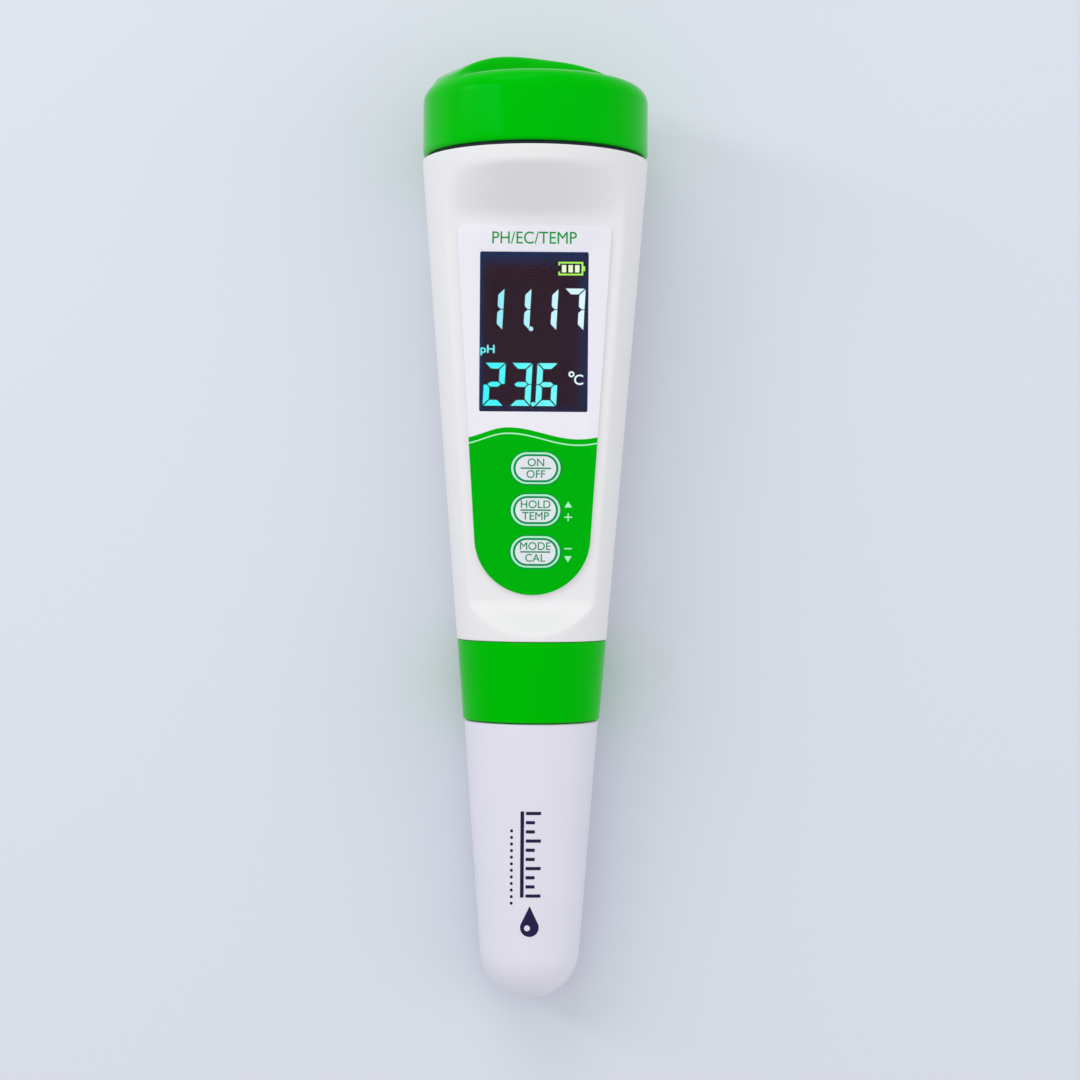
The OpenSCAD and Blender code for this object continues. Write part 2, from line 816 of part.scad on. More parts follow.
module reference_wire() {
    color([0.8, 0.8, 0.82]) lying() translate([0, 0, bulb_z - 1])
        cylinder(r = wire_r, h = plug_top_z - bulb_z, $fn = small_fn);
}

// A sensor pin with a rounded lower end
module sensor_pin(turn, r, low) {
    at_sensor(turn) translate([0, 0, low + r]) {
        sphere(r = r, $fn = small_fn);
        cylinder(r = r, h = sensor_top_z - low - r, $fn = small_fn);
    }
}

module reference_junction() {
    color([0.95, 0.94, 0.9]) lying() sensor_pin(270, ec_pin_r, guard_floor_z - 0.9);
}

module conductivity_pins() {
    color([0.25, 0.25, 0.27]) lying() for (turn = [0, 180])
        sensor_pin(turn, ec_pin_r, barrel_low_z + 1.6);
}

module temperature_probe() {
    color(steel) lying() sensor_pin(90, probe_r, barrel_low_z + 1.2);
}

module plug_pins() {
    color(gold) lying() at_pins() {
        translate([0, 0, pin_root_z]) cylinder(r = pin_r, h = pin_top_z - pin_root_z - pin_r,
                                               $fn = small_fn);
        translate([0, 0, pin_top_z - pin_r]) sphere(r = pin_r, $fn = small_fn);
    }
}

module seal_ring(groove_r, up) {
    color(dark_rubber) lying() translate([0, 0, up]) rotate_extrude()
        translate([groove_r + seal_section_r, 0]) circle(r = seal_section_r, $fn = 48);
}

module plug_seal() {
    seal_ring(plug_groove_r, plug_groove_z);
}

module cap_seal() {
    seal_ring(seat_groove_r, seat_groove_z);
}

module collar() {
    color(green_plastic) lying() difference() {
        translate([0, 0, collar_low_z])
            cylinder(r1 = cone_r(collar_low_z) - collar_inset,
                     r2 = cone_r(collar_top_z) - collar_inset,
                     h = collar_top_z - collar_low_z);
        translate([0, 0, collar_low_z - 1]) cylinder(r = collar_lip_r, h = far);
        difference() {
            translate([0, 0, collar_lip_top_z]) cylinder(r = collar_bore_r, h = far);
            thread_ridge(collar_bore_r, collar_crest_r, collar_pitch,
                         spigot_thread_z - collar_pitch / 2,
                         collar_thread_from, collar_thread_to);
        }
    }
}

module protective_cap() {
    rim_r = cone_r(sleeve_top_z) - sleeve_inset;
    color(white_plastic) lying() difference() {
        union() {
            translate([0, 0, tip_r]) sphere(r = tip_r);
            translate([0, 0, tip_blend_z])
                cylinder(r1 = cone_r(tip_blend_z), r2 = rim_r, h = sleeve_top_z - tip_blend_z);
        }
        translate([0, 0, tip_r]) sphere(r = tip_r - sleeve_wall);
        translate([0, 0, tip_r])
            cylinder(r1 = tip_r - sleeve_wall, r2 = cone_r(sleeve_top_z) - sleeve_inset
                     - sleeve_wall, h = sleeve_top_z - tip_r + eps);
        translate([0, 0, sleeve_bore_low_z]) cylinder(r = sleeve_bore_r, h = far);
    }
}

module storage_sponge() {
    color([0.95, 0.9, 0.6]) lying() intersection() {
        translate([0, 0, tip_r]) union() {
            sphere(r = tip_r - sleeve_wall);
            cylinder(r = tip_r - sleeve_wall - eps, h = far);
        }
        translate([0, 0, sponge_top_z - far]) cylinder(r = far, h = far);
    }
}

housing();
cap_gasket();
key_overlay();
window_lens();
lcd_glass();
backlight();
lcd_frame();
zebra_strip();
main_board();
control_chip();
board_parts();
switch_bodies();
board_carrier();
board_screws();
battery_tube();
spring_contact();
battery_spring();
positive_tab();
battery_lead();
connector_socket();
socket_leads();
button_cells();
battery_cap();
cap_contact();
power_key();
hold_key();
mode_key();
power_switch_button();
hold_switch_button();
mode_switch_button();
electrode_body();
ph_bulb();
reference_wire();
reference_junction();
conductivity_pins();
temperature_probe();
plug_pins();
plug_seal();
cap_seal();
collar();
protective_cap();
storage_sponge();
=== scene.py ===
"""Looks of the water test pen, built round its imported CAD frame.

Lengths are millimetres in two places: the pen's own (x across, y to its back, z up its axis from the tip)
and its flat front (x across, y up the front, z out of it). shaped() turns them into the frame's metres.
"""

import json
import math

import bmesh
import bpy
import numpy as np
from mathutils import Matrix, Vector


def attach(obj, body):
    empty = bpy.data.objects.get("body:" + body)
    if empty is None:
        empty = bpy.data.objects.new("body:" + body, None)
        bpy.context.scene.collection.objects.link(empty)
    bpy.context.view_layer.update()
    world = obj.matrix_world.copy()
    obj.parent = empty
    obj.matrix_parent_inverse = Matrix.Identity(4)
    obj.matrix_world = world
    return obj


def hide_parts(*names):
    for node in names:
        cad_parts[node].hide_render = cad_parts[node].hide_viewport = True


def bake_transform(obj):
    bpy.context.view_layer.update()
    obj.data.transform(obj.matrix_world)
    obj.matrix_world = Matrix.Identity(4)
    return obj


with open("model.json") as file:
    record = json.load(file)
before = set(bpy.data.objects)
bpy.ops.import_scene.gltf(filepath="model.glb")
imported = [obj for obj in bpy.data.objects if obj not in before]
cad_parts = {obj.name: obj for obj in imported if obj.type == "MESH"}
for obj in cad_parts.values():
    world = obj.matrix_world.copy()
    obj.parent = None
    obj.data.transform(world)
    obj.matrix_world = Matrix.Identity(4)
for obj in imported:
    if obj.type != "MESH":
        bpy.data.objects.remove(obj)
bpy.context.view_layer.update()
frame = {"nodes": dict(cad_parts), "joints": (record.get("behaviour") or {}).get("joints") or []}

MM = 0.001
JOINTS = {joint["name"]: joint for joint in frame["joints"]}

# ---- places


def node_points(node):
    mesh = frame["nodes"][node].data
    points = np.zeros(len(mesh.vertices) * 3)
    mesh.vertices.foreach_get("co", points)
    return points.reshape(-1, 3)


def span(node, place, axis):
    """Lowest and highest value of a CAD node along an axis of a place, in millimetres."""
    values = (node_points(node) - place["origin"]) @ place["axes"][axis] / MM
    return values.min(), values.max()


def outer_radius(node):
    offsets = (node_points(node) - PEN["origin"]) @ PEN["axes"].T / MM
    return np.hypot(offsets[:, 0], offsets[:, 1]).max()


ACROSS = np.array((1.0, 0.0, 0.0))
ALONG = np.array(JOINTS["cap_turn"]["axis"])
INWARD = np.array(JOINTS["power_press"]["axis"])
ALONG = ALONG / np.linalg.norm(ALONG)
INWARD = INWARD / np.linalg.norm(INWARD)
X, Y, Z = 0, 1, 2

on_axis = np.array(JOINTS["cap_turn"]["pos_m"])
tip_level = ((node_points("protective_cap") - on_axis) @ ALONG).min()
PEN = {"origin": on_axis + tip_level * ALONG,
       "axes": np.array((ACROSS, np.cross(ALONG, ACROSS), ALONG))}

FACET_LOW_D, FACET_LOW_Z = 8.0, 66.6
FRONT = {"origin": PEN["origin"] + MM * (FACET_LOW_Z * ALONG - FACET_LOW_D * PEN["axes"][Y]),
         "axes": np.array((ACROSS, np.cross(ACROSS, INWARD), -INWARD))}
FACET_TILT = math.asin(float(ALONG @ INWARD))

# ---- sizes

TAPER = math.asin(ALONG[Z])
CONE_START_R = PEN["origin"][Z] / MM / math.cos(TAPER)
TIP_R = CONE_START_R * math.cos(TAPER) / (1 - math.sin(TAPER))
TIP_BLEND_Z = TIP_R * (1 - math.sin(TAPER))

SLEEVE_TOP = span("protective_cap", PEN, Z)[1]
COLLAR_LOW, COLLAR_TOP = span("collar", PEN, Z)
SPIGOT_LOW, NECK_TOP = span("housing", PEN, Z)
GASKET_LOW, GASKET_TOP = span("cap_gasket", PEN, Z)
LID_LOW, RIDGE_TOP = span("battery_cap", PEN, Z)
LID_R = outer_radius("battery_cap") - 0.02
HOUSING_LOW = COLLAR_TOP + 0.1
SHOULDER = GASKET_LOW

WALL = 2.0
FACET_WALL = 1.8
FACET_TOP_D, FACET_TOP_Z = 10.5, 130.8
RECESS_RIM_Z, RECESS_RIM_OVER, RECESS_HALF_W = 138.9, 0.3, 15.6
RIM_BLEND, FOOT_BLEND = 0.5, 0.9

WINDOW_W, WINDOW_H, WINDOW_LOW = 17.9, 26.3, 31.95
WINDOW_TOP = WINDOW_LOW + WINDOW_H
WINDOW_GAP, LENS_HALF, LENS_OVER, LENS_T, LENS_GAP = 0.25, 10.1, 1.15, 1.1, 0.02
OVERLAY_T = 0.5
OVERLAY_TOP, OVERLAY_TOP_HALF, OVERLAY_CORNER_R = 62.65, 12.7, 1.4
OVERLAY_LOW_R, OVERLAY_LOW_C = 9.65, 11.25
PRINT_T = 0.03

KEY_X, KEY_W, KEY_H, KEY_T, KEY_PROUD = 0.5, 8.2, 5.25, 0.72, 0.12
KEY_AT = {"mode": 8.8, "hold": 15.72, "power": 22.64}
PLUNGER_R, PLUNGER_HOLE_R = 1.6, 2.0
POCKET_DEPTH = 0.75
POCKET_GAP, KEY_GAP = 0.4, 0.03

LID_RIM, LID_FILLET, LID_LOW_FILLET = 153.8, 3.0, 0.6
LID_BORE_R, LID_CEILING = 16.5, 148.3
SCOOP_DEPTH, SCOOP_FLOOR_R, SCOOP_TOP_R = 3.1, 12.6, 15.6
RIDGE_TURN = math.radians(30)
RIDGE_HALF_L, RIDGE_TOP_HALF_T, RIDGE_RIM_HALF_T = 17.5, 3.2, 4.8

NECK_ROOT_R, NECK_CREST_R, NECK_BORE_R = 15.2, 16.2, 13.6
SPIGOT_ROOT_R, SPIGOT_CREST_R, SPIGOT_BORE_R = 9.7, 10.25, 8.2
BULKHEAD_LOW, BULKHEAD_TOP, BULKHEAD_BORE_R, CAVITY_TOP = 60.9, 62.5, 5.0, 138.6
LID_PITCH, NECK_THREAD_Z, NECK_THREAD_TURNS = 2.5, 143.1, 1.4
COLLAR_PITCH, SPIGOT_THREAD_Z, SPIGOT_THREAD_TURNS = 2.0, 53.2, 2.5

# ---- mesh tools

SMOOTH_ANGLE, THREAD_STEP = 35, 0.16


def cone_r(level):
    return CONE_START_R + level * math.tan(TAPER)


def smooth_max(a, b, blend):
    """The larger of a and b, rounded over where they cross."""
    share = np.clip(0.5 + (a - b) / (2 * blend), 0, 1)
    return b + (a - b) * share + blend * share * (1 - share)


def smooth_min(a, b, blend):
    return -smooth_max(-a, -b, blend)


def clean(mesh, merge=1e-7):
    """Joins doubled points, drops what has no area and turns every face outwards."""
    work = bmesh.new()
    work.from_mesh(mesh)
    bmesh.ops.remove_doubles(work, verts=work.verts, dist=merge)
    bmesh.ops.dissolve_degenerate(work, edges=work.edges, dist=merge)
    bmesh.ops.recalc_face_normals(work, faces=work.faces)
    work.to_mesh(mesh)
    work.free()


def placed(name, data):
    """A new object in the scene."""
    piece = bpy.data.objects.new(name, data)
    bpy.context.scene.collection.objects.link(piece)
    return piece


def settled(piece):
    """A new mesh of a piece, as its curve or modifier leaves it."""
    bpy.context.view_layer.update()
    return bpy.data.meshes.new_from_object(piece.evaluated_get(bpy.context.evaluated_depsgraph_get()))


def dress(piece, material, body, node=None):
    """Gives a piece its material and body, and hides the CAD node that it replaces."""
    piece.data.materials.append(material)
    if node:
        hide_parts(node)
    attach(piece, body)
    return piece


def shaped(name, points, faces, place, smooth_angle=SMOOTH_ANGLE):
    """An object of these faces, its points given in a place."""
    mesh = bpy.data.meshes.new(name)
    points = place["origin"] + MM * (np.asarray(points, float).reshape(-1, 3) @ place["axes"])
    mesh.from_pydata(points.tolist(), [], faces)
    clean(mesh)
    shade(mesh, smooth_angle)
    return placed(name, mesh)


def shade(mesh, smooth_angle=SMOOTH_ANGLE):
    """Smooth faces, with sharp edges where they turn by more than an angle."""
    mesh.polygons.foreach_set("use_smooth", [True] * len(mesh.polygons))
    mesh.set_sharp_from_angle(angle=math.radians(smooth_angle))


def ring_faces(rows, columns, closed):
    """Quads between neighbouring rows of points, each row a ring. closed joins the last row to the first."""
    index = np.arange(rows * columns).reshape(rows, columns)
    upper = np.roll(index, -1, axis=0) if closed else index[1:]
    lower = index if closed else index[:-1]
    quads = np.stack([lower, np.roll(lower, -1, axis=1), np.roll(upper, -1, axis=1), upper], axis=-1)
    return quads.reshape(-1, 4).tolist()


def even_turns(count):
    return np.linspace(-math.pi, math.pi, count, endpoint=False)


def around(radius, turns, level):
    """Points round the pen's axis. Turns start at its front."""
    return np.stack([radius * np.sin(turns), -radius * np.cos(turns), level + 0 * turns], axis=-1)


def rings(profile, turns):
    """Rows of points round the pen's axis, one for each (radius, level) of a profile."""
    radius, level = np.array(profile, float).T[:, :, None]
    return around(radius, turns, level)


def thread_rings(base_r, crest_r, pitch, start, first, last, low, high, turns):
    """Rows of a threaded wall: a ridge stands from base_r to crest_r along a right-hand helix."""
    levels = np.linspace(low, high, int((high - low) / THREAD_STEP) + 1)[:, None]
    bump = np.zeros((len(levels), len(turns)))
    angle = turns / (2 * math.pi) - 0.25
    for whole in range(math.floor(first) - 1, math.ceil(last) + 2):
        turn = angle + whole
        away = np.abs(levels - start - turn * pitch) / pitch
        run_out = np.clip(np.minimum(turn - first, last - turn) * 6, 0, 1)
        ridge = np.clip((0.3 - away) / 0.2, 0, 1) * run_out
        bump = np.maximum(bump, ridge * ridge * (3 - 2 * ridge))
    return around(base_r + (crest_r - base_r) * bump, turns, levels)


def rounded(corners, steps=5):
    """A closed outline of (a, b, radius) corners, each rounded by an arc of its radius."""
    outline = []
    for i, (a, b, radius) in enumerate(corners):
        if radius <= 0:
            outline.append((a, b))
            continue
        here = Vector((a, b))
        before = (Vector(corners[i - 1][:2]) - here).normalized()
        after = (Vector(corners[(i + 1) % len(corners)][:2]) - here).normalized()
        half = before.angle(after) / 2
        reach = radius / math.tan(half)
        centre = here + (before + after).normalized() * radius / math.sin(half)
        start, end = here + before * reach - centre, here + after * reach - centre
        sweep = start.angle_signed(end)
        for k in range(steps + 1):
            outline.append(tuple(centre + Matrix.Rotation(-sweep * k / steps, 2) @ start))
    return outline


def plate(name, outlines, low, high, bevel=0.0, place=FRONT):
    """Flat outlines, with holes inside them, made into a plate from low to high with bevelled edges."""
    curve = bpy.data.curves.new(name, "CURVE")
    curve.dimensions = "2D"
    curve.fill_mode = "BOTH"
    curve.extrude = (high - low) / 2 - bevel
    curve.bevel_depth = bevel
    curve.bevel_resolution = 2
    curve.offset = -bevel
    for outline in outlines:
        spline = curve.splines.new("POLY")
        spline.points.add(len(outline) - 1)
        spline.use_cyclic_u = True
        for point, (a, b) in zip(spline.points, outline):
            point.co = (a, b, 0, 1)
    return from_curve(name, curve, (low + high) / 2, place)


def from_curve(name, curve, height, place, fit=None):
    """Turns a flat curve or text into a mesh at a height above a place. fit moves its points first."""
    holder = placed(name, curve)
    mesh = settled(holder)
    bpy.data.objects.remove(holder)
    bpy.data.curves.remove(curve)
    points = np.array([v.co for v in mesh.vertices], float).reshape(-1, 3)
    if fit:
        points = fit(points)
    points[:, 2] += height
    faces = [list(p.vertices) for p in mesh.polygons]
    bpy.data.meshes.remove(mesh)
    return shaped(name, points, faces, place)


def lettering(name, text, x, y, cap_height, low, width=None, weight=0.0, anchor=0.5):
    """Raised letters on the front. x is where anchor (0 left, 1 right) of their width lies, y their foot."""
    font = bpy.data.curves.new(name, "FONT")
    font.body = text
    font.offset = weight
    font.extrude = PRINT_T / 2

    def fit(points):
        size = points.max(0) - points.min(0)
        tall = cap_height / size[1]
        wide = width / size[0] if width else tall
        points[:, 0] = (points[:, 0] - points[:, 0].min() - anchor * size[0]) * wide + x
        points[:, 1] = (points[:, 1] - points[:, 1].min()) * tall + y
        return points

    return from_curve(name, font, low + PRINT_T / 2, FRONT, fit=fit)


def arc(x, y, radius, start, end, steps=24):
    angles = np.radians(np.linspace(start, end, steps + 1))
    return [(x + radius * math.cos(a), y + radius * math.sin(a)) for a in angles]


def circle(x, y, radius, steps=32):
    return arc(x, y, radius, 0, 360, steps)[:-1]


def box_outline(x0, y0, x1, y1, radius=0.0):
    return rounded([(x0, y0, radius), (x1, y0, radius), (x1, y1, radius), (x0, y1, radius)])


def pill(x, y, width, height):
    reach, radius = (width - height) / 2, height / 2
    return arc(x + reach, y, radius, -90, 90) + arc(x - reach, y, radius, 90, 270)


def join(name, parts):
    """One object out of several, which may not touch."""
    work = bmesh.new()
    for part in parts:
        work.from_mesh(part.data)
    mesh = bpy.data.meshes.new(name)
    work.to_mesh(mesh)
    work.free()
    for part in parts:
        bpy.data.objects.remove(part)
    shade(mesh)
    return placed(name, mesh)


def cut(piece, cutter):
    """Takes the closed cutter's volume out of a piece."""
    modifier = piece.modifiers.new("cut", "BOOLEAN")
    modifier.operation = "DIFFERENCE"
    modifier.solver = "MANIFOLD"
    modifier.object = cutter
    mesh = settled(piece)
    piece.modifiers.clear()
    old, piece.data = piece.data, mesh
    bpy.data.meshes.remove(old)
    bpy.data.objects.remove(cutter)
    clean(mesh, 1e-8)
    shade(mesh)


# ---- material tools


def linear(*color):
    """A colour of 0 to 255 as the linear colour that shaders take."""
    value = np.array(color) / 255
    return (*np.where(value <= 0.04045, value / 12.92, ((value + 0.055) / 1.055) ** 2.4).tolist(), 1.0)


class Shader:
    """A material's node tree, with short names for the nodes used here. Sizes are millimetres."""

    def __init__(self, name, **constants):
        self.material = bpy.data.materials.new(name)
        self.material.use_nodes = True
        self.tree = self.material.node_tree
        self.tree.nodes.clear()
        output = self.node("OutputMaterial")
        self.bsdf = self.node("BsdfPrincipled")
        self.link(self.bsdf.outputs[0], output.inputs["Surface"])
        for socket, value in constants.items():
            self.bsdf.inputs[socket.replace("_", " ")].default_value = value

    def node(self, kind, **values):
        node = self.tree.nodes.new("ShaderNode" + kind)
        for key, value in values.items():
            setattr(node, key, value)
        return node

    def link(self, source, target):
        self.tree.links.new(source, target)

    def set(self, socket, source):
        self.link(source, self.bsdf.inputs[socket])

    def noise(self, size, detail=2.0, stretch=(1, 1, 1), rough=0.5):
        """Noise whose grains are about size across, longer where stretch is under 1."""
        place = self.node("TexCoord")
        mapping = self.node("Mapping")
        mapping.inputs["Scale"].default_value = [s / (size * MM) for s in stretch]
        texture = self.node("TexNoise")
        texture.inputs["Scale"].default_value = 1.0
        texture.inputs["Detail"].default_value = detail
        texture.inputs["Roughness"].default_value = rough
        self.link(place.outputs["Object"], mapping.inputs["Vector"])
        self.link(mapping.outputs[0], texture.inputs["Vector"])
        return texture.outputs["Fac"]

    def cells(self, size):
        place = self.node("TexCoord")
        texture = self.node("TexVoronoi")
        texture.inputs["Scale"].default_value = 1 / (size * MM)
        self.link(place.outputs["Object"], texture.inputs["Vector"])
        return texture.outputs["Distance"]

    def range(self, value, low, high, to_low, to_high):
        mapped = self.node("MapRange")
        for socket, number in zip(mapped.inputs[1:5], (low, high, to_low, to_high)):
            socket.default_value = number
        self.link(value, mapped.inputs["Value"])
        return mapped.outputs[0]

    def mix(self, factor, first, second):
        """Mixes two colours, each (red, green, blue) of 0 to 255 or a socket."""
        mixed = self.node("Mix", data_type="RGBA")
        self.link(factor, mixed.inputs["Factor"])
        for socket, value in ((mixed.inputs[6], first), (mixed.inputs[7], second)):
            if isinstance(value, tuple):
                socket.default_value = linear(*value)
            else:
                self.link(value, socket)
        return mixed.outputs[2]

    def math(self, operation, first, second):
        node = self.node("Math", operation=operation)
        for socket, value in zip(node.inputs, (first, second)):
            if isinstance(value, (int, float)):
                socket.default_value = value
            else:
                self.link(value, socket)
        return node.outputs[0]

    def edges(self):
        """About 1 on outer edges, which wear first, and 0 elsewhere."""
        return self.range(self.node("NewGeometry").outputs["Pointiness"], 0.54, 0.62, 0.0, 1.0)

    def along(self, place, axis, low, high):
        """Runs from 0 to 1 between two values along an axis of a place."""
        coordinates = self.node("TexCoord")
        dot = self.node("VectorMath", operation="DOT_PRODUCT")
        dot.inputs[1].default_value = place["axes"][axis].tolist()
        self.link(coordinates.outputs["Object"], dot.inputs[0])
        start = float(place["origin"] @ place["axes"][axis])
        return self.range(dot.outputs["Value"], start + low * MM, start + high * MM, 0.0, 1.0)

    def bump(self, *heights):
        """Bumps of (value, height in millimetres), one on top of the other."""
        normal = None
        for value, height in heights:
            node = self.node("Bump")
            node.inputs["Distance"].default_value = height * MM
            self.link(value, node.inputs["Height"])
            if normal:
                self.link(normal, node.inputs["Normal"])
            normal = node.outputs["Normal"]
        self.set("Normal", normal)


def moulded(name, color, tone, roughness, grain, grain_height, scuffs=0.10, worn=0.3, **constants):
    """Injection-moulded plastic: slow colour drift, fine grain, faint scuffs and paler worn edges."""
    shader = Shader(name, **constants)
    drift = shader.noise(14, 3)
    fine = shader.noise(grain, 3)
    lines = shader.range(shader.noise(1.1, 4, (0.12, 1.0, 0.5)), 0.62, 0.72, 0.0, 1.0)
    wear = shader.math("MULTIPLY", shader.edges(), shader.range(shader.noise(0.7, 4), 0.45, 0.65, 0.0, 1.0))
    body = shader.mix(drift, color, tone)
    shader.set("Base Color", shader.mix(shader.math("MULTIPLY", wear, worn), body, (240, 238, 246)))
    rough = shader.range(fine, 0.3, 0.7, roughness * 0.85, roughness * 1.15)
    rough = shader.math("ADD", rough, shader.math("MULTIPLY", lines, scuffs))
    shader.set("Roughness", shader.math("ADD", rough, shader.math("MULTIPLY", wear, 0.15)))
    shader.bump((shader.noise(5, 2), 0.012), (fine, grain_height), (lines, 0.004))
    return shader.material


def metal(name, color, tone, roughness, brush=(1.0, 0.08, 0.08), size=0.25):
    """Plated or brushed metal with fine drawn lines and dull patches."""
    shader = Shader(name, Metallic=1.0)
    lines = shader.noise(size, 3, brush)
    patches = shader.noise(2.5, 3)
    shader.set("Base Color", shader.mix(shader.range(patches, 0.4, 0.7, 0.0, 1.0), color, tone))
    dull = shader.range(patches, 0.35, 0.7, 0.0, 0.14)
    drawn = shader.range(lines, 0.3, 0.7, roughness * 0.8, roughness * 1.3)
    shader.set("Roughness", shader.math("ADD", drawn, dull))
    shader.bump((lines, 0.004))
    return shader.material


def rubber(name, color, dusty, roughness=0.55):
    """Moulded rubber with a dusty bloom and a fine pitted skin."""
    shader = Shader(name, Specular_IOR_Level=0.35)
    bloom = shader.range(shader.noise(1.6, 4), 0.5, 0.75, 0.0, 0.6)
    pits = shader.noise(0.12, 3)
    shader.set("Base Color", shader.mix(bloom, color, dusty))
    shader.set("Roughness", shader.range(pits, 0.3, 0.7, roughness * 0.85, roughness * 1.2))
    shader.bump((pits, 0.012))
    return shader.material


def film(name, color, tone, roughness=0.32, shine=0.3, tint=(1.0, 1.0, 1.0, 1.0)):
    """Printed polyester: an even ink with a very fine screen texture and faint handling marks."""
    shader = Shader(name, Specular_IOR_Level=shine, Specular_Tint=tint)
    screen = shader.noise(0.09, 2)
    marks = shader.range(shader.noise(3.5, 4), 0.5, 0.8, 0.0, 0.12)
    shader.set("Base Color", shader.mix(shader.noise(6, 3), color, tone))
    grain = shader.range(screen, 0.3, 0.7, roughness * 0.9, roughness * 1.1)
    shader.set("Roughness", shader.math("ADD", grain, marks))
    shader.bump((screen, 0.0015))
    return shader.material


def clear(name, color, ior, haze):
    """Clear plastic or glass with fingerprint haze."""
    shader = Shader(name, Transmission_Weight=1.0, IOR=ior)
    smear = shader.range(shader.noise(2.2, 4, (1.0, 0.4, 1.0)), 0.5, 0.75, 0.0, haze)
    shader.set("Base Color", shader.mix(shader.noise(9, 2), color, tuple(c * 0.991 for c in color)))
    shader.set("Roughness", smear)
    shader.bump((shader.noise(6, 2), 0.004))
    return shader.material


def glowing(name, left, right):
    """Lit display ink that changes colour from the window's left to its right."""
    shader = Shader(name, Base_Color=(0.02, 0.03, 0.03, 1.0), Roughness=0.3, Specular_IOR_Level=0.1,
                    Emission_Strength=1.0)
    across = shader.along(FRONT, X, -WINDOW_W / 2, WINDOW_W / 2)
    flicker = shader.range(shader.noise(0.8, 2), 0.3, 0.7, 0.0, 0.08)
    shader.set("Emission Color", shader.mix(shader.math("ADD", across, flicker), left, right))
    return shader.material


def display_face(name):
    """The unlit display: aubergine in the middle, navy towards the top, the right and the lower right."""
    shader = Shader(name, Roughness=0.3, Specular_IOR_Level=0.05, Emission_Strength=1.0)
    top = shader.along(FRONT, Y, WINDOW_TOP - 2.6, WINDOW_TOP)
    right = shader.along(FRONT, X, WINDOW_W / 2 - 2.6, WINDOW_W / 2)
    foot = shader.along(FRONT, Y, WINDOW_LOW + 1.6, WINDOW_LOW)
    left = shader.along(FRONT, X, -WINDOW_W / 2 + 0.9, -WINDOW_W / 2 + 0.2)
    cloud = shader.range(shader.noise(6, 2), 0.35, 0.65, 0.8, 1.05)
    glow = shader.math("MAXIMUM", shader.math("MAXIMUM", top, shader.math("MULTIPLY", right, 0.75)),
                       shader.math("MAXIMUM", shader.math("MULTIPLY", foot, 0.6), left))
    color = shader.mix(shader.math("MULTIPLY", glow, cloud), (35, 9, 27), (14, 40, 84))
    shader.set("Emission Color", color)
    shader.set("Base Color", shader.mix(glow, (8, 5, 8), (6, 10, 18)))
    return shader.material


def circuit_board(name):
    """Solder mask over faint copper tracks."""
    shader = Shader(name, Coat_Weight=0.3)
    tracks = shader.range(shader.noise(1.3, 1, (1.0, 0.25, 1.0)), 0.49, 0.51, 0.0, 1.0)
    shader.set("Base Color", shader.mix(tracks, (6, 70, 34), (16, 96, 48)))
    shader.set("Roughness", shader.range(tracks, 0, 1, 0.42, 0.3))
    shader.bump((tracks, 0.03))
    return shader.material


def spongy(name):
    """Open-celled wet sponge, its colour darker in the hollows of its cells as painted shade."""
    shader = Shader(name, Subsurface_Weight=0.2)
    pores = shader.range(shader.cells(0.9), 0.1, 0.55, 0.0, 1.0)
    # Painted shade: the colour turns brown where the cells sink in under the bump.
    shader.set("Base Color", shader.mix(pores, (150, 120, 50), (232, 208, 120)))
    shader.set("Roughness", shader.range(pores, 0, 1, 0.35, 0.8))
    shader.bump((pores, 0.35), (shader.noise(0.2, 3), 0.05))
    return shader.material


GREEN_SHINE = (0.02, 1.0, 0.3, 1.0)
WHITE = moulded("white_abs", (247, 240, 254), (243, 237, 251), 0.34, 0.3, 0.0030,
                Specular_IOR_Level=0.4)
SLEEVE_WHITE = moulded("white_abs_sleeve", (226, 225, 235), (221, 220, 231), 0.34, 0.3, 0.0030,
                       worn=0.0, Specular_IOR_Level=0.4)
GREEN = moulded("green_abs", (0, 188, 2), (0, 182, 1), 0.24, 0.35, 0.0012, 0.08, 0.0,
                Specular_IOR_Level=0.07, Specular_Tint=GREEN_SHINE)
LID_GREEN = moulded("green_abs_lid", (0, 190, 3), (0, 184, 2), 0.16, 0.35, 0.0012, 0.08, 0.0,
                    Specular_IOR_Level=0.1, Specular_Tint=GREEN_SHINE)
RUBBER = rubber("dark_rubber", (14, 20, 40), (34, 42, 62))
FILM = film("label_film", (234, 233, 239), (230, 229, 236))
GREEN_INK = film("green_ink", (0, 177, 2), (0, 172, 1), shine=0.15, tint=GREEN_SHINE)
TEXT_INK = film("letter_ink", (0, 152, 56), (0, 146, 56), shine=0.15, tint=GREEN_SHINE)
TEAL_INK = film("teal_ink", (0, 138, 88), (2, 132, 86), shine=0.15, tint=GREEN_SHINE)
MINT_INK = film("mint_ink", (176, 243, 196), (170, 238, 190), shine=0.2)
KEY_INK = film("key_ink", (226, 230, 233), (221, 227, 230), shine=0.2)
NAVY_INK = film("navy_ink", (30, 26, 72), (26, 22, 62), shine=0.15)
PANE = clear("acrylic_pane", (252.7, 252.7, 255.0), 1.15, 0.0)
DISPLAY = display_face("display_glass")
READING = glowing("reading_glow", (116, 232, 244), (222, 250, 255))
SECOND_READING = glowing("second_reading_glow", (20, 244, 248), (130, 254, 250))
UNITS = glowing("unit_glow", (70, 240, 248), (240, 255, 255))
BATTERY_GLOW = glowing("battery_glow", (120, 235, 20), (175, 250, 80))
BAR_GLOW = glowing("bar_glow", (190, 255, 130), (240, 255, 215))

# ---- housing

FRONT_SPREAD, FRONT_STEP, BACK_STEP = 78.0, 1.2, 3.0
EDGE_R = 0.2


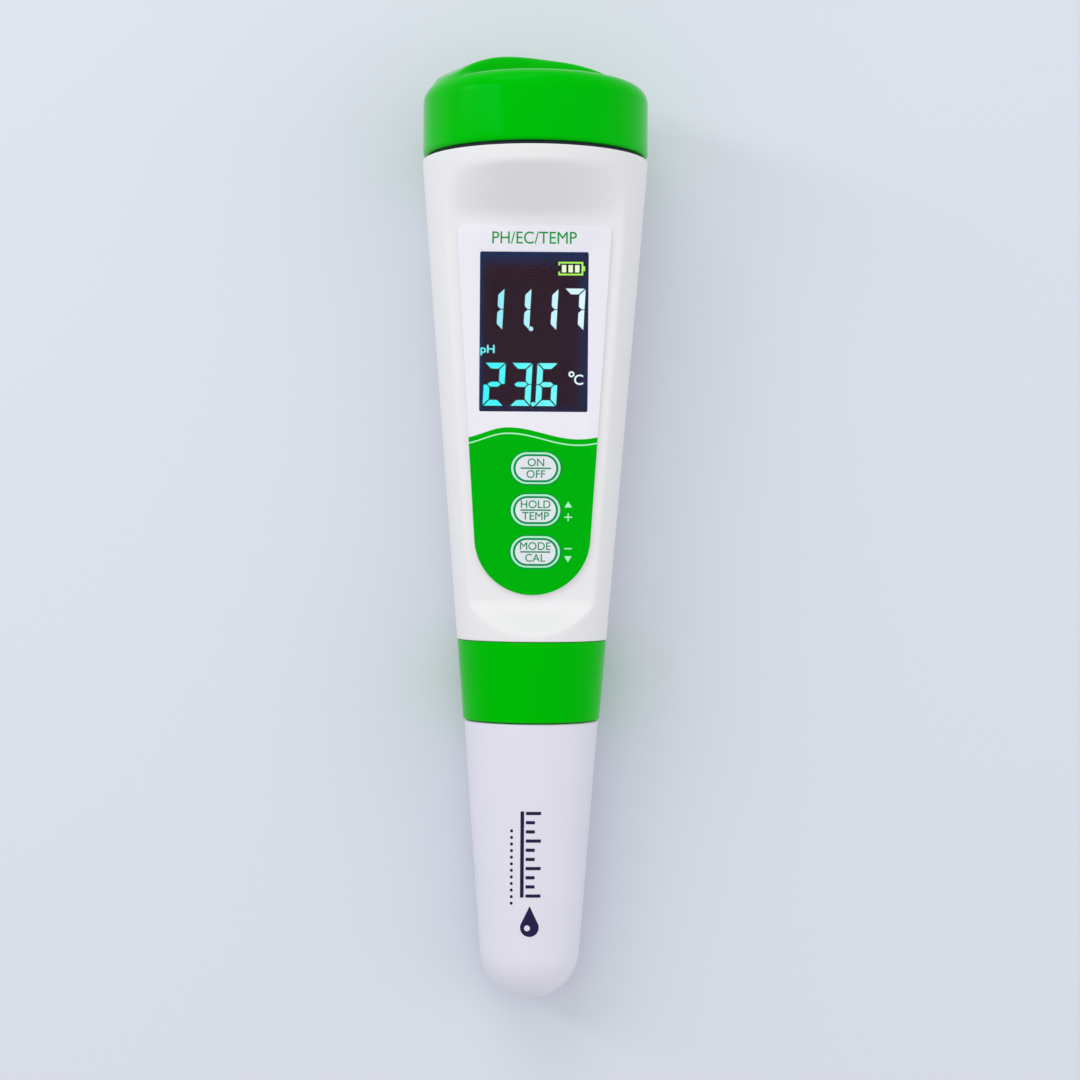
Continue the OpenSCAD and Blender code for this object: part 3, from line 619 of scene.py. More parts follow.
def housing_turns():
    """Angles of the housing's columns of points, closer together across its front."""
    front = np.arange(-FRONT_SPREAD, FRONT_SPREAD, FRONT_STEP)
    back = np.arange(FRONT_SPREAD, 360 - FRONT_SPREAD, BACK_STEP)
    return np.radians(np.concatenate([front, back]))


def hollow_floor(x, level, depth):
    """Height of the front hollow's surface over its flat floor, less the depth that it is sunk by."""
    rise = level - FACET_LOW_Z
    slant = math.tan(FACET_TILT)
    low = -rise / math.cos(FACET_TILT) - depth * (math.sqrt(2) - 1)
    rim_r = cone_r(RECESS_RIM_Z) + RECESS_RIM_OVER
    front = np.sqrt(rim_r ** 2 - np.minimum(np.abs(x), RECESS_HALF_W) ** 2)
    climb = (level - depth * math.sqrt(2) - FACET_TOP_Z) / (RECESS_RIM_Z - FACET_TOP_Z)
    high = FACET_TOP_D + climb * (front - FACET_TOP_D) - FACET_LOW_D - rise * slant + depth
    return smooth_max(np.maximum(low, high), 0.0, FOOT_BLEND) - depth


def shell_rings(levels, turns, inset, depth, edge_r=0.0):
    """Rows of the tapered shell, the cone less inset, with the front hollow sunk by depth."""
    level = np.asarray(levels, float)[:, None]
    radius = CONE_START_R + level * math.tan(TAPER) - inset + 0 * turns
    if edge_r:
        near_edge = np.clip(edge_r - np.minimum(level - HOUSING_LOW, SHOULDER - level), 0, edge_r)
        radius = radius - (edge_r - np.sqrt(edge_r ** 2 - near_edge ** 2))
    centre = 0.7 * radius
    aim = np.arctan2(np.sin(turns), np.cos(turns) + 0.7) + 0 * level
    near = np.zeros_like(radius)
    far = centre * np.cos(aim) + np.sqrt(radius ** 2 - (centre * np.sin(aim)) ** 2)
    for _ in range(32):
        middle = (near + far) / 2
        x, y = middle * np.sin(aim), centre - middle * np.cos(aim)
        back, rise = y + FACET_LOW_D, level - FACET_LOW_Z
        out = -back * math.cos(FACET_TILT) - rise * math.sin(FACET_TILT)
        floor = hollow_floor(x, level, depth)
        outside = smooth_max(np.hypot(x, y) - radius, out - floor, RIM_BLEND) > 0
        near, far = np.where(outside, near, middle), np.where(outside, middle, far)
    return np.stack([near * np.sin(aim), centre - near * np.cos(aim), level + 0 * near], axis=-1)


def housing_levels():
    edge = EDGE_R * (1 - np.cos(np.linspace(0, math.pi / 2, 5)))
    middle = np.linspace(HOUSING_LOW + EDGE_R, SHOULDER - EDGE_R, 200)
    return np.concatenate([HOUSING_LOW + edge[:-1], middle, SHOULDER - edge[-2::-1]])


def lens_outline(gap, corner=0.0):
    """The clear window's outline, a gap larger."""
    half = LENS_HALF + gap
    return box_outline(-half, WINDOW_LOW - LENS_OVER - gap, half, WINDOW_TOP + LENS_OVER + gap, corner)


def make_housing():
    turns = housing_turns()
    rows = [
        rings([(SPIGOT_BORE_R, SPIGOT_LOW + 0.35), (SPIGOT_BORE_R + 0.1, SPIGOT_LOW + 0.1),
               (SPIGOT_BORE_R + 0.35, SPIGOT_LOW), (SPIGOT_ROOT_R - 0.35, SPIGOT_LOW),
               (SPIGOT_ROOT_R - 0.1, SPIGOT_LOW + 0.1)], turns),
        thread_rings(SPIGOT_ROOT_R, SPIGOT_CREST_R, COLLAR_PITCH, SPIGOT_THREAD_Z, 0,
                     SPIGOT_THREAD_TURNS, SPIGOT_LOW + 0.35, HOUSING_LOW - 0.3, turns),
        rings([(SPIGOT_ROOT_R, HOUSING_LOW)], turns),
        shell_rings(housing_levels(), turns, 0.0, 0.0, EDGE_R),
        rings([(NECK_ROOT_R + 0.25, SHOULDER), (NECK_ROOT_R, SHOULDER + 0.25)], turns),
        thread_rings(NECK_ROOT_R, NECK_CREST_R, LID_PITCH, NECK_THREAD_Z, 0, NECK_THREAD_TURNS,
                     SHOULDER + 0.5, NECK_TOP - 0.35, turns),
        rings([(NECK_ROOT_R - 0.1, NECK_TOP - 0.1), (NECK_ROOT_R - 0.35, NECK_TOP),
               (NECK_BORE_R + 0.3, NECK_TOP), (NECK_BORE_R, NECK_TOP - 0.3), (NECK_BORE_R, CAVITY_TOP)],
              turns),
        shell_rings(np.linspace(CAVITY_TOP, BULKHEAD_TOP, 60), turns, WALL, FACET_WALL),
        rings([(BULKHEAD_BORE_R, BULKHEAD_TOP), (BULKHEAD_BORE_R, BULKHEAD_LOW),
               (SPIGOT_BORE_R, BULKHEAD_LOW)], turns)]
    points = np.concatenate(rows)
    housing = shaped("housing_shell", points, ring_faces(len(points), len(turns), True), PEN)
    half, through, above = WINDOW_W / 2 + WINDOW_GAP, -4, 3
    opening = box_outline(-half, WINDOW_LOW - WINDOW_GAP, half, WINDOW_TOP + WINDOW_GAP)
    pockets = [pill(KEY_X, up, KEY_W + 2 * POCKET_GAP, KEY_H + 2 * POCKET_GAP) for up in KEY_AT.values()]
    holes = [circle(KEY_X, up, PLUNGER_HOLE_R) for up in KEY_AT.values()]
    for outlines, depth in (([opening], through), ([lens_outline(LENS_GAP)], -LENS_T - LENS_GAP),
                            (pockets, -POCKET_DEPTH), (holes, through)):
        cut(housing, plate("cutter", outlines, depth, above))
    dress(housing, WHITE, "housing", "housing")


def make_gasket():
    inner, outer = NECK_ROOT_R + 0.05, outer_radius("cap_gasket")
    profile = rounded([(inner, GASKET_LOW, 0.1), (outer, GASKET_LOW, 0.2), (outer, GASKET_TOP, 0.2),
                       (inner, GASKET_TOP, 0.1)], 4)
    turns = even_turns(128)
    gasket = shaped("gasket_ring", rings(profile, turns), ring_faces(len(profile), len(turns), True), PEN)
    dress(gasket, RUBBER, "housing", "cap_gasket")


make_housing()
make_gasket()

# ---- printed front

FOOT_STEPS, WAVE_POINTS = 48, 49
FIELD_LEVEL, FIELD_CREST_X, FIELD_SWELL = 28.4, -4.1, 0.95
INK_INSET, BORDER = 0.03, 0.15


def label_outline(inset=0.0):
    """The overlay's outline: two top corners and a round foot, joined by straight sides."""
    half, top = OVERLAY_TOP_HALF - inset, OVERLAY_TOP - inset
    corner_r, low_r = OVERLAY_CORNER_R - min(inset, OVERLAY_CORNER_R - 0.1), OVERLAY_LOW_R - inset
    corner = (half - corner_r, top - corner_r)
    run = math.hypot(corner[0], corner[1] - OVERLAY_LOW_C)
    lean = math.atan2(corner[0], corner[1] - OVERLAY_LOW_C) - math.asin((low_r - corner_r) / run)
    side = math.degrees(-lean)
    outline = arc(corner[0], corner[1], corner_r, side, 90, 8)
    outline += arc(-corner[0], corner[1], corner_r, 90, 180 - side, 8)
    return outline + arc(0, OVERLAY_LOW_C, low_r, 180 - side, 360 + side, FOOT_STEPS)


def side_x(inset):
    """Half width of the overlay, less an inset, at the level of the wave."""
    heights, halves = zip(*sorted((p[1], p[0]) for p in label_outline(inset) if p[0] > 0))
    return float(np.interp(FIELD_LEVEL, heights, halves))


def wave(x):
    """Height of the green field's top edge: a crest left of the middle and a trough right of it."""
    half_wave = 11.5 if x > FIELD_CREST_X else 8.4
    return FIELD_LEVEL + FIELD_SWELL * math.cos(math.pi * (x - FIELD_CREST_X) / half_wave)


def field_outline(inset):
    """The overlay's round foot, from left to right, and then the wave back to the left."""
    edge = side_x(inset)
    crest = [(x, wave(x)) for x in np.linspace(edge, -edge, WAVE_POINTS)]
    return label_outline(inset)[-FOOT_STEPS - 1:] + crest


def printed(name, shapes, low, material, body="housing"):
    """Flat outlines as a layer of print."""
    dress(plate(name, shapes, low, low + PRINT_T), material, body)


def make_overlay():
    second_ink = OVERLAY_T + PRINT_T
    holes = [pill(KEY_X, up, KEY_W + 2 * KEY_GAP, KEY_H + 2 * KEY_GAP) for up in KEY_AT.values()]
    window = box_outline(-WINDOW_W / 2, WINDOW_LOW, WINDOW_W / 2, WINDOW_TOP, 0.3)
    overlay = plate("overlay_film", [label_outline(), window] + holes, 0, OVERLAY_T, 0.04)
    dress(overlay, FILM, "housing", "key_overlay")
    printed("printed_field", [field_outline(INK_INSET)] + holes, OVERLAY_T, GREEN_INK)
    rims = [pill(KEY_X, up, KEY_W + 2 * BORDER, KEY_H + 2 * BORDER) for up in KEY_AT.values()]
    printed("key_borders", rims + holes, second_ink, TEAL_INK)

    line_low, line_high = 1.09, 0.86
    edge = side_x(INK_INSET + 0.02)
    stretch = np.linspace(-edge, edge, WAVE_POINTS)
    line = [(x, wave(x) - line_low) for x in stretch] + [(x, wave(x) - line_high) for x in stretch[::-1]]
    printed("printed_line", [line], second_ink, MINT_INK)

    header = lettering("printed_header", "PH/EC/TEMP", 0, 59.55, 2.0, OVERLAY_T, width=13.9)
    dress(header, TEXT_INK, "housing")
    make_symbols()


def make_symbols():
    """Up and down arrows, plus and minus, to the right of the lower two keys."""
    x = KEY_X + 5.4
    hold, mode = KEY_AT["hold"], KEY_AT["mode"]
    shapes = [[(x - 0.63, hold + 0.47), (x + 0.63, hold + 0.47), (x, hold + 1.47)],
              [(x - 0.63, mode - 0.66), (x, mode - 1.66), (x + 0.63, mode - 0.66)],
              box_outline(x - 0.6, mode + 0.47, x + 0.6, mode + 0.67)]
    plus = [(0.65, -0.1), (0.65, 0.1), (0.1, 0.1), (0.1, 0.65), (-0.1, 0.65), (-0.1, 0.1),
            (-0.65, 0.1), (-0.65, -0.1), (-0.1, -0.1), (-0.1, -0.65), (0.1, -0.65), (0.1, -0.1)]
    shapes.append([(x + a, hold - 1.14 + b) for a, b in plus])
    printed("printed_symbols", shapes, OVERLAY_T + PRINT_T, MINT_INK)


def make_window():
    lens = plate("window_pane", [lens_outline(0.0, 0.4)], -LENS_T, -0.005, 0.08)
    dress(lens, PANE, "housing", "window_lens")


make_overlay()
make_window()

# ---- display

SEGMENTS = {"1": "bc", "2": "abged", "3": "abgcd", "6": "afgedc", "7": "abc"}
DIGIT_W, STROKE, STROKE_GAP, SLANT = 3.45, 0.96, 0.15, 0.05
LCD_FACE = -1.9
INK_LIFT = 0.02


def segment_shapes(width, height, thick, gap):
    """Outlines of the seven bars of a digit, mitred where they meet, from its lower left corner."""
    middle, far_x, far_y = height / 2, width - thick, height - thick
    half, gap_y = thick / 2, gap / 2
    top = [(gap, height), (width - gap, height), (far_x - gap, far_y), (thick + gap, far_y)]
    upper = [(width, height - gap), (far_x, far_y - gap), (far_x, middle + half + gap_y),
             (width - half, middle + gap_y), (width, middle + gap_y)]
    bar = [(half + gap, middle), (thick + gap, middle + half - gap_y), (far_x - gap, middle + half - gap_y),
           (width - half - gap, middle), (far_x - gap, middle - half + gap_y),
           (thick + gap, middle - half + gap_y)]

    def across(shape):
        return [(width - x, y) for x, y in shape]

    def down(shape):
        return [(x, height - y) for x, y in shape]

    return {"a": top, "b": upper, "c": down(upper), "d": down(top), "e": across(down(upper)),
            "f": across(upper), "g": bar}


def digit(character, right, low, height):
    """The lit bars of one seven-segment digit."""
    bars = segment_shapes(DIGIT_W, height, STROKE, STROKE_GAP)
    return [[(right - DIGIT_W + x + SLANT * (y - height / 2), low + y) for x, y in bars[name]]
            for name in SEGMENTS[character]]


def make_display():
    left, top, low = -WINDOW_W / 2, WINDOW_TOP, LCD_FACE + INK_LIFT
    upper, lower = top - 12.83, top - 25.3
    rows = [("lcd_reading", READING, "1117", (3.88, 8.33, 12.78, 17.25), upper, 6.99, (8.45, 0.38)),
            ("lcd_second_reading", SECOND_READING, "236", (4.17, 8.6, 12.87), lower, 7.1, (8.9, 0.36))]
    for name, material, characters, rights, foot, height, (dot_x, dot_r) in rows:
        shapes = [circle(left + dot_x, foot + 0.3, dot_r)]
        for character, right in zip(characters, rights):
            shapes += digit(character, left + right, foot, height)
        printed(name, shapes, low, material)

    units = [lettering("ph_unit", "pH", left + 0.15, top - 17.0, 1.75, low, width=2.35, weight=0.02,
                       anchor=0.0),
             lettering("celsius", "C", left + 15.65, top - 21.75, 1.7, low, weight=0.01, anchor=0.0),
             plate("degree", [circle(left + 15.2, top - 20.0, 0.5), circle(left + 15.2, top - 20.0, 0.24)],
                   low, low + PRINT_T)]
    dress(join("lcd_units", units), UNITS, "housing")

    back, right, line, tick, pole = left + 12.9, left + 17.0, 0.28, 0.6, 0.4
    high, foot = top - 1.44, top - 3.67
    middle = (high + foot) / 2
    case = [(back, high), (back, high - tick), (back + line, high - tick), (back + line, high - line),
            (right - line, high - line), (right - line, foot + line), (back + line, foot + line),
            (back + line, foot + tick), (back, foot + tick), (back, foot), (right, foot),
            (right, middle - pole), (right + 0.3, middle - pole), (right + 0.3, middle + pole),
            (right, middle + pole), (right, high)]
    bars = [box_outline(left + 13.48 + k * 1.085, top - 3.18, left + 14.21 + k * 1.085, top - 1.97)
            for k in range(3)]
    printed("lcd_battery", [case], low, BATTERY_GLOW)
    printed("lcd_charge_bars", bars, low, BAR_GLOW)


make_display()

# ---- keys

KEY_WORDS = {"power": ("ON", "OFF"), "hold": ("HOLD", "TEMP"), "mode": ("MODE", "CAL")}
KEY_FACE = OVERLAY_T + KEY_PROUD
SWITCH_FACE = -2.9


def make_key(name, up):
    body = name + "_key"
    pad = plate(name + "_pad", [pill(KEY_X, up, KEY_W, KEY_H)], KEY_FACE - KEY_T, KEY_FACE, 0.04)
    plunger = plate("plunger", [circle(KEY_X, up, PLUNGER_R)], SWITCH_FACE, KEY_FACE - KEY_T, 0.05)
    key = join(name + "_key_pad", [pad, plunger])
    dress(key, MINT_INK, body, body)
    outer, inner = pill(KEY_X, up, KEY_W - 0.8, KEY_H - 0.64), pill(KEY_X, up, KEY_W - 1.5, KEY_H - 1.3)
    low = KEY_FACE + PRINT_T
    printed(name + "_key_ring", [outer, inner], KEY_FACE, TEAL_INK, body)
    printed(name + "_key_face", [inner], KEY_FACE, KEY_INK, body)
    above, below = KEY_WORDS[name]
    letter_h, gap = 1.28, 0.33
    words = [lettering("above", above, KEY_X, up + gap, letter_h, low),
             lettering("below", below, KEY_X, up - gap - letter_h, letter_h, low),
             plate("rule", [box_outline(KEY_X - 2.5, up - 0.11, KEY_X + 2.5, up + 0.11)], low,
                   low + PRINT_T)]
    dress(join(name + "_key_words", words), TEAL_INK, body)


for key_name, key_up in KEY_AT.items():
    make_key(key_name, key_up)

# ---- battery cap

LID_COLUMNS = 288


def lid_top(radius, turns):
    """Height of the battery cap's top: a rounded rim round a scooped hollow, and the arched grip ridge."""
    rise = RIDGE_TOP - LID_RIM
    x, y = radius * np.sin(turns), -radius * np.cos(turns)
    lengthwise = x * math.cos(RIDGE_TURN) + y * math.sin(RIDGE_TURN)
    sideways = np.abs(y * math.cos(RIDGE_TURN) - x * math.sin(RIDGE_TURN))
    round_part = np.clip(radius - (LID_R - LID_FILLET), 0, LID_FILLET)
    rim = LID_RIM - LID_FILLET + np.sqrt(LID_FILLET ** 2 - round_part ** 2) + 0 * turns
    floor = LID_RIM - SCOOP_DEPTH
    bowl = floor + (radius - SCOOP_FLOOR_R) * SCOOP_DEPTH / (SCOOP_TOP_R - SCOOP_FLOOR_R) + 0 * turns
    bowl = smooth_min(smooth_max(bowl, floor, 0.9), rim, 0.5)
    arch = RIDGE_TOP - 0.06 - rise * np.abs(lengthwise / RIDGE_HALF_L) ** 3
    flank = LID_RIM + (RIDGE_RIM_HALF_T - sideways) * rise / (RIDGE_RIM_HALF_T - RIDGE_TOP_HALF_T)
    end = LID_RIM + (RIDGE_HALF_L - radius) * 2.0
    ridge = smooth_min(smooth_min(arch, flank, 1.0), end, 0.6)
    return smooth_max(bowl, ridge, 0.7)


def make_lid():
    turns = even_turns(LID_COLUMNS)
    flat_radii = np.concatenate([[0.0], np.arange(0.4, LID_R - LID_FILLET - 0.1, 0.36)])
    bend = np.radians(np.linspace(0, 90, 14))
    radii = np.concatenate([flat_radii, LID_R - LID_FILLET + LID_FILLET * np.sin(bend)])[:, None]
    level = lid_top(radii, turns[None, :])
    level[-1] = LID_RIM - LID_FILLET
    foot = LID_R - LID_LOW_FILLET * (1 - np.sin(bend[::-3]))
    foot_level = LID_LOW + LID_LOW_FILLET * (1 - np.cos(bend[::-3]))
    rows = [
        around(radii, turns, level),
        rings([(LID_R, z) for z in np.linspace(LID_RIM - LID_FILLET - 0.5, LID_LOW + 1.1, 15)], turns),
        rings(list(zip(foot, foot_level)), turns),
        rings([(LID_BORE_R + 0.3, LID_LOW), (LID_BORE_R, LID_LOW + 0.3)], turns),
        thread_rings(LID_BORE_R, 15.5, LID_PITCH, NECK_THREAD_Z - LID_PITCH / 2, 0.45, 1.85,
                     LID_LOW + 0.5, LID_CEILING - 0.4, turns),
        rings([(LID_BORE_R - 0.1, LID_CEILING - 0.1), (LID_BORE_R - 0.4, LID_CEILING), (8, LID_CEILING),
               (0, LID_CEILING)], turns)]
    points = np.concatenate(rows)
    lid = shaped("lid_shell", points, ring_faces(len(points), LID_COLUMNS, False), PEN, 50)
    dress(lid, LID_GREEN, "battery_cap", "battery_cap")


make_lid()

# ---- collar and protective cap

COLLAR_INSET, SLEEVE_INSET, SLEEVE_WALL = 0.05, 0.22, 1.5
SLEEVE_SLOPE = (cone_r(SLEEVE_TOP) - SLEEVE_INSET - cone_r(TIP_BLEND_Z)) / (SLEEVE_TOP - TIP_BLEND_Z)


def sleeve_r(level):
    """Outer radius of the protective cap above its round tip."""
    return cone_r(TIP_BLEND_Z) + SLEEVE_SLOPE * (level - TIP_BLEND_Z)


def make_collar():
    lip_r, lip_top, bore_r = 9.15, 49.3, 10.5
    turns = even_turns(144)
    outer = rounded([(lip_r, COLLAR_LOW, 0.1), (cone_r(COLLAR_LOW) - COLLAR_INSET, COLLAR_LOW, 0.15),
                     (cone_r(COLLAR_TOP) - COLLAR_INSET, COLLAR_TOP, 0.15), (bore_r, COLLAR_TOP, 0.25),
                     (bore_r, lip_top, 0.15), (lip_r, lip_top, 0.15)], 4)
    corners = 5
    wall = [(cone_r(z) - COLLAR_INSET, z) for z in np.linspace(COLLAR_LOW + 0.6, COLLAR_TOP - 0.6, 14)]
    before = outer[:2 * corners] + wall + outer[2 * corners:4 * corners]
    after = outer[4 * corners:]
    rows = [rings(before, turns),
            thread_rings(bore_r, 9.95, COLLAR_PITCH, SPIGOT_THREAD_Z - COLLAR_PITCH / 2, 0, 2.5,
                         lip_top + 0.4, COLLAR_TOP - 0.5, turns)[::-1],
            rings(after, turns)]
    points = np.concatenate(rows)
    collar = shaped("collar_ring", points, ring_faces(len(points), len(turns), True), PEN)
    dress(collar, GREEN, "collar", "collar")


def make_sleeve():
    bore_r, bore_low = 9.7, 38.8
    rim, slope = sleeve_r(SLEEVE_TOP), SLEEVE_SLOPE
    bend = np.linspace(0, math.pi / 2 - TAPER, 24)
    outer = [(TIP_R * math.sin(a), TIP_R * (1 - math.cos(a))) for a in bend]
    outer += [(sleeve_r(z), z) for z in np.linspace(TIP_BLEND_Z, SLEEVE_TOP, 40)[1:-1]]
    top = rounded([(rim - slope * 2, SLEEVE_TOP - 2, 0), (rim, SLEEVE_TOP, 0.35), (bore_r, SLEEVE_TOP, 0.3),
                   (bore_r, SLEEVE_TOP - 2, 0)], 4)
    inner_r = TIP_R - SLEEVE_WALL
    full = np.linspace(0, math.pi / 2, 14)
    inner_top = inner_r + (bore_low - TIP_R) * (rim - SLEEVE_WALL - inner_r) / (SLEEVE_TOP - TIP_R)
    inner = [(bore_r, bore_low), (inner_top, bore_low)]
    inner += [(inner_r * math.sin(a), TIP_R - inner_r * math.cos(a)) for a in full[::-1]]
    profile = outer + top[1:-1] + inner
    turns = even_turns(144)
    points = rings(profile, turns)
    sleeve = shaped("protective_sleeve", points, ring_faces(len(profile), len(turns), False), PEN)
    dress(sleeve, SLEEVE_WHITE, "protective_cap", "protective_cap")


def wrapped(name, outlines):
    """Flat outlines, x across and y up the pen, bent onto the protective cap's front."""
    flat = plate(name, outlines, 0, PRINT_T, place={"origin": np.zeros(3), "axes": np.eye(3)})
    work = bmesh.new()
    work.from_mesh(flat.data)
    bmesh.ops.scale(work, vec=(1 / MM,) * 3, verts=work.verts)
    for x in np.arange(-4.0, 4.01, 0.4):
        bmesh.ops.bisect_plane(work, geom=work.verts[:] + work.edges[:] + work.faces[:],
                               plane_co=(x, 0, 0), plane_no=(1, 0, 0))
    work.to_mesh(flat.data)
    work.free()
    points = np.array([v.co for v in flat.data.vertices], float)
    surface = sleeve_r(points[:, 1])
    turn = points[:, 0] / surface
    radius = surface + points[:, 2] - 0.005
    faces = [list(p.vertices) for p in flat.data.polygons]
    bpy.data.objects.remove(flat)
    return shaped(name, around(radius, turn, points[:, 1]), faces, PEN)


def make_mark():
    """A generic sign for water testing: a drop under a tall scale of ticks, with a row of dots beside it."""
    drop_r, drop_z = 1.55, 13.2
    sweep = arc(0, drop_z, drop_r, 180 - 28, 360 + 28, 28)
    shapes = [sweep + [(0, drop_z + 3.6)], circle(-0.4, drop_z - 0.1, 0.5, 20)]
    shapes.append(box_outline(-1.6, 18.2, -1.0, 32.6, 0.15))
    for k in range(10):
        reach = 2.5 if k % 3 == 0 else 1.5
        level = 18.5 + k * 1.53
        shapes.append(box_outline(-0.7, level - 0.27, -0.7 + reach, level + 0.27, 0.1))
    shapes += [circle(-3.1, 17.2 + k * 1.1, 0.26, 16) for k in range(12)]
    mark = wrapped("cap_mark", shapes)
    dress(mark, NAVY_INK, "protective_cap")


def make_sponge():
    """The damp sponge in the protective cap's tip, with an uneven top."""
    top, gap = span("storage_sponge", PEN, Z)[1], 0.08
    reach = TIP_R - SLEEVE_WALL - gap
    bend = np.linspace(0, math.pi / 2, 14)
    profile = [(reach * math.sin(a), TIP_R - reach * math.cos(a)) for a in bend]
    profile += [(reach, top - 0.8), (reach - 0.15, top - 0.25)]
    profile += [(r, top - 0.1) for r in np.linspace(reach - 0.6, 0, 9)]
    turns = even_turns(72)
    points = rings(profile, turns)
    radius = np.hypot(points[..., 0], points[..., 1])
    sag = 0.28 * (np.sin(points[..., 0] * 1.7) * np.cos(points[..., 1] * 2.1) - 1) * (radius < reach - 0.3)
    points[..., 2] += sag * (points[..., 2] > top - 0.3)
    sponge = shaped("sponge_plug", points, ring_faces(len(profile), len(turns), False), PEN, 60)
    dress(sponge, spongy("wet_sponge"), "protective_cap", "storage_sponge")


make_collar()
make_sleeve()
make_mark()
make_sponge()

# ---- battery spring


def make_spring():
    """A conical coil with flat end turns, stretched between the housing and the cells."""
    low, high = span("battery_spring", PEN, Z)
    wire, sides, steps, coils = 0.25, 12, 260, 5.0
    f = np.linspace(0, 1, steps)
    angle = f * coils * 2 * math.pi
    radius = 4.4 - 1.8 * f
    climb = np.clip((f * coils - 0.8) / (coils - 1.6), 0, 1)
    level = low + wire + (high - low - 2 * wire) * climb
    around = np.linspace(0, 2 * math.pi, sides, endpoint=False)
    reach = radius[:, None] + wire * np.cos(around)
    rows = np.stack([reach * np.cos(angle)[:, None], reach * np.sin(angle)[:, None],
                     level[:, None] + wire * np.sin(around)], axis=-1)
    faces = ring_faces(steps, sides, False)
    faces += [list(range(sides)), list(range((steps - 1) * sides, steps * sides))]
    spring = shaped("spring_coil", rows, faces, PEN, 60)
    spring.data.materials.append(metal("spring_steel", (196, 198, 202), (170, 170, 172), 0.22))
    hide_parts("battery_spring")
    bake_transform(spring)


make_spring()

# ---- carried-over nodes


def coat(material, *nodes):
    """Gives a material to CAD nodes that stay."""
    for node in nodes:
        for slot in frame["nodes"][node].material_slots:
            slot.material = material


def carried_over():
    """Materials for the CAD nodes that stay."""
    coat(metal("plated_steel", (204, 204, 208), (178, 176, 174), 0.24),
         "spring_contact", "positive_tab", "button_cells", "board_screws", "temperature_probe")
    coat(metal("gold_flash", (232, 190, 96), (214, 168, 84), 0.22),
         "cap_contact", "plug_pins", "socket_leads")
    coat(moulded("grey_moulding", (176, 177, 184), (168, 170, 178), 0.45, 0.25, 0.006),
         "board_carrier", "battery_tube")
    coat(moulded("white_moulding", (228, 228, 228), (220, 221, 224), 0.42, 0.25, 0.005), "lcd_frame")
    coat(moulded("black_epoxy", (30, 30, 33), (40, 40, 44), 0.5, 0.15, 0.008, worn=0.05),
         "control_chip", "switch_bodies", "connector_socket", "power_switch_button",
         "hold_switch_button", "mode_switch_button")
    coat(moulded("sensor_grey", (62, 64, 70), (70, 72, 80), 0.34, 0.25, 0.005, worn=0.05),
         "electrode_body")
    coat(RUBBER, "plug_seal", "cap_seal")
    coat(rubber("zebra_rubber", (210, 150, 158), (196, 138, 148), 0.5), "zebra_strip")
    coat(moulded("light_guide", (214, 230, 240), (206, 224, 238), 0.3, 0.4, 0.003,
                 Transmission_Weight=0.3), "backlight")
    coat(moulded("ceramic_chips", (168, 142, 104), (140, 116, 86), 0.48, 0.3, 0.01), "board_parts")
    coat(moulded("wire_sleeve", (176, 28, 26), (158, 22, 22), 0.4, 0.2, 0.004), "battery_lead")
    coat(clear("bulb_glass", (246.9, 252.7, 255.0), 1.5, 0.03), "ph_bulb")
    coat(metal("silver_wire", (150, 148, 150), (92, 86, 92), 0.4), "reference_wire")
    coat(moulded("porous_ceramic", (236, 232, 222), (222, 216, 204), 0.8, 0.12, 0.02),
         "reference_junction")
    coat(moulded("graphite", (52, 52, 56), (40, 40, 44), 0.42, 0.1, 0.012, worn=0.05),
         "conductivity_pins")
    coat(circuit_board("solder_mask"), "main_board")
    coat(DISPLAY, "lcd_glass")


carried_over()

# ---- stage, light and camera


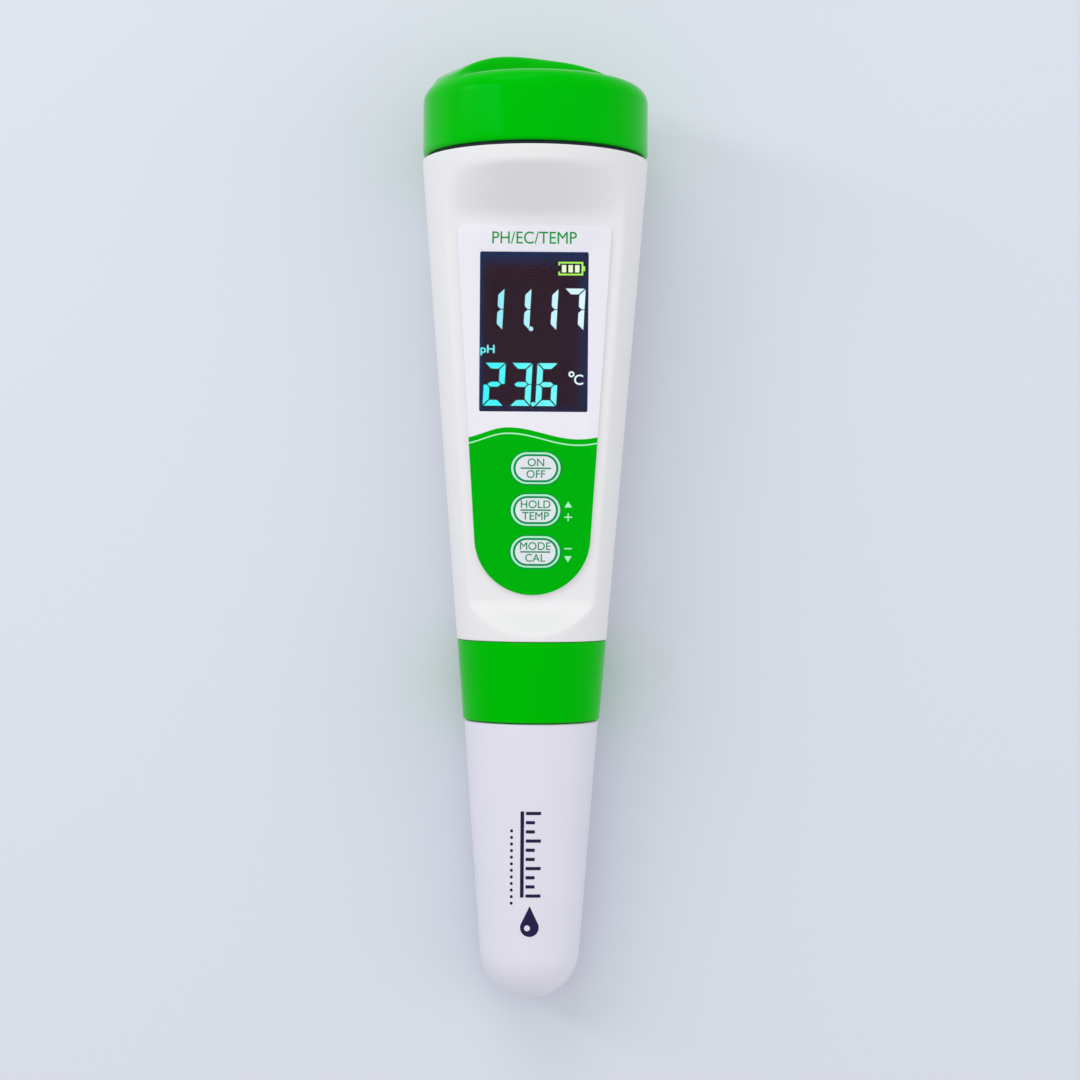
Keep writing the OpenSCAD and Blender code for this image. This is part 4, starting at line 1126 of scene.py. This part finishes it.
def make_floor():
    half = 3.0
    mesh = bpy.data.meshes.new("floor")
    mesh.from_pydata([(-half, -half, 0), (half, -half, 0), (half, half, 0), (-half, half, 0)], [],
                     [(0, 1, 2, 3)])
    floor = placed("floor", mesh)
    shader = Shader("floor_paper", Specular_IOR_Level=0.1)
    shader.set("Base Color", shader.mix(shader.noise(160, 2), (216, 221, 229), (214, 219, 228)))
    shader.set("Roughness", shader.range(shader.noise(3, 2), 0.3, 0.7, 0.82, 0.9))
    mesh.materials.append(shader.material)


def softbox(name, place, target, size, power):
    light = bpy.data.lights.new(name, "AREA")
    light.shape = "RECTANGLE"
    light.size, light.size_y = size
    light.energy = power
    lamp = placed(name, light)
    lamp.location = place
    lamp.rotation_mode = "QUATERNION"
    lamp.rotation_quaternion = (Vector(target) - Vector(place)).to_track_quat("-Z", "Y")


def make_lights():
    world = bpy.data.worlds.new("studio")
    bpy.context.scene.world = world
    world.use_nodes = True
    background = world.node_tree.nodes["Background"]
    background.inputs["Color"].default_value = (0.94, 0.935, 0.965, 1.0)
    background.inputs["Strength"].default_value = 0.74
    middle = (0, 0, 0.01)
    softbox("key_light", (-0.20, 0.62, 0.50), middle, (0.5, 0.5), 1.4)
    softbox("strip_light", (-0.49, 0.20, 0.35), (0, 0.06, 0.02), (0.08, 0.5), 0.7)
    softbox("fill_light", (0.62, -0.05, 0.34), (0, 0, 0.02), (0.5, 0.9), 0.85)
    softbox("top_light", (0.05, 0.10, 0.95), middle, (0.9, 0.9), 1.0)
    bpy.context.scene.view_settings.view_transform = "Standard"


def make_camera():
    """Looks square onto the pen's front from above its middle, its top leaning a little to the right."""
    distance, level, aside, lean = 381.0, 77.35, 1.27, math.radians(0.435)
    data = bpy.data.cameras.new("camera")
    data.lens, data.sensor_width = 75, 36
    camera = placed("camera", data)
    across, back, along = PEN["axes"]
    right = math.cos(lean) * across + math.sin(lean) * along
    above = math.cos(lean) * along - math.sin(lean) * across
    place = PEN["origin"] + MM * (aside * across - distance * back + level * along)
    matrix = np.eye(4)
    matrix[:3] = np.stack([right, above, -back, place], axis=1)
    camera.matrix_world = Matrix(matrix.tolist())
    bpy.context.scene.camera = camera


make_floor()
make_lights()
make_camera()
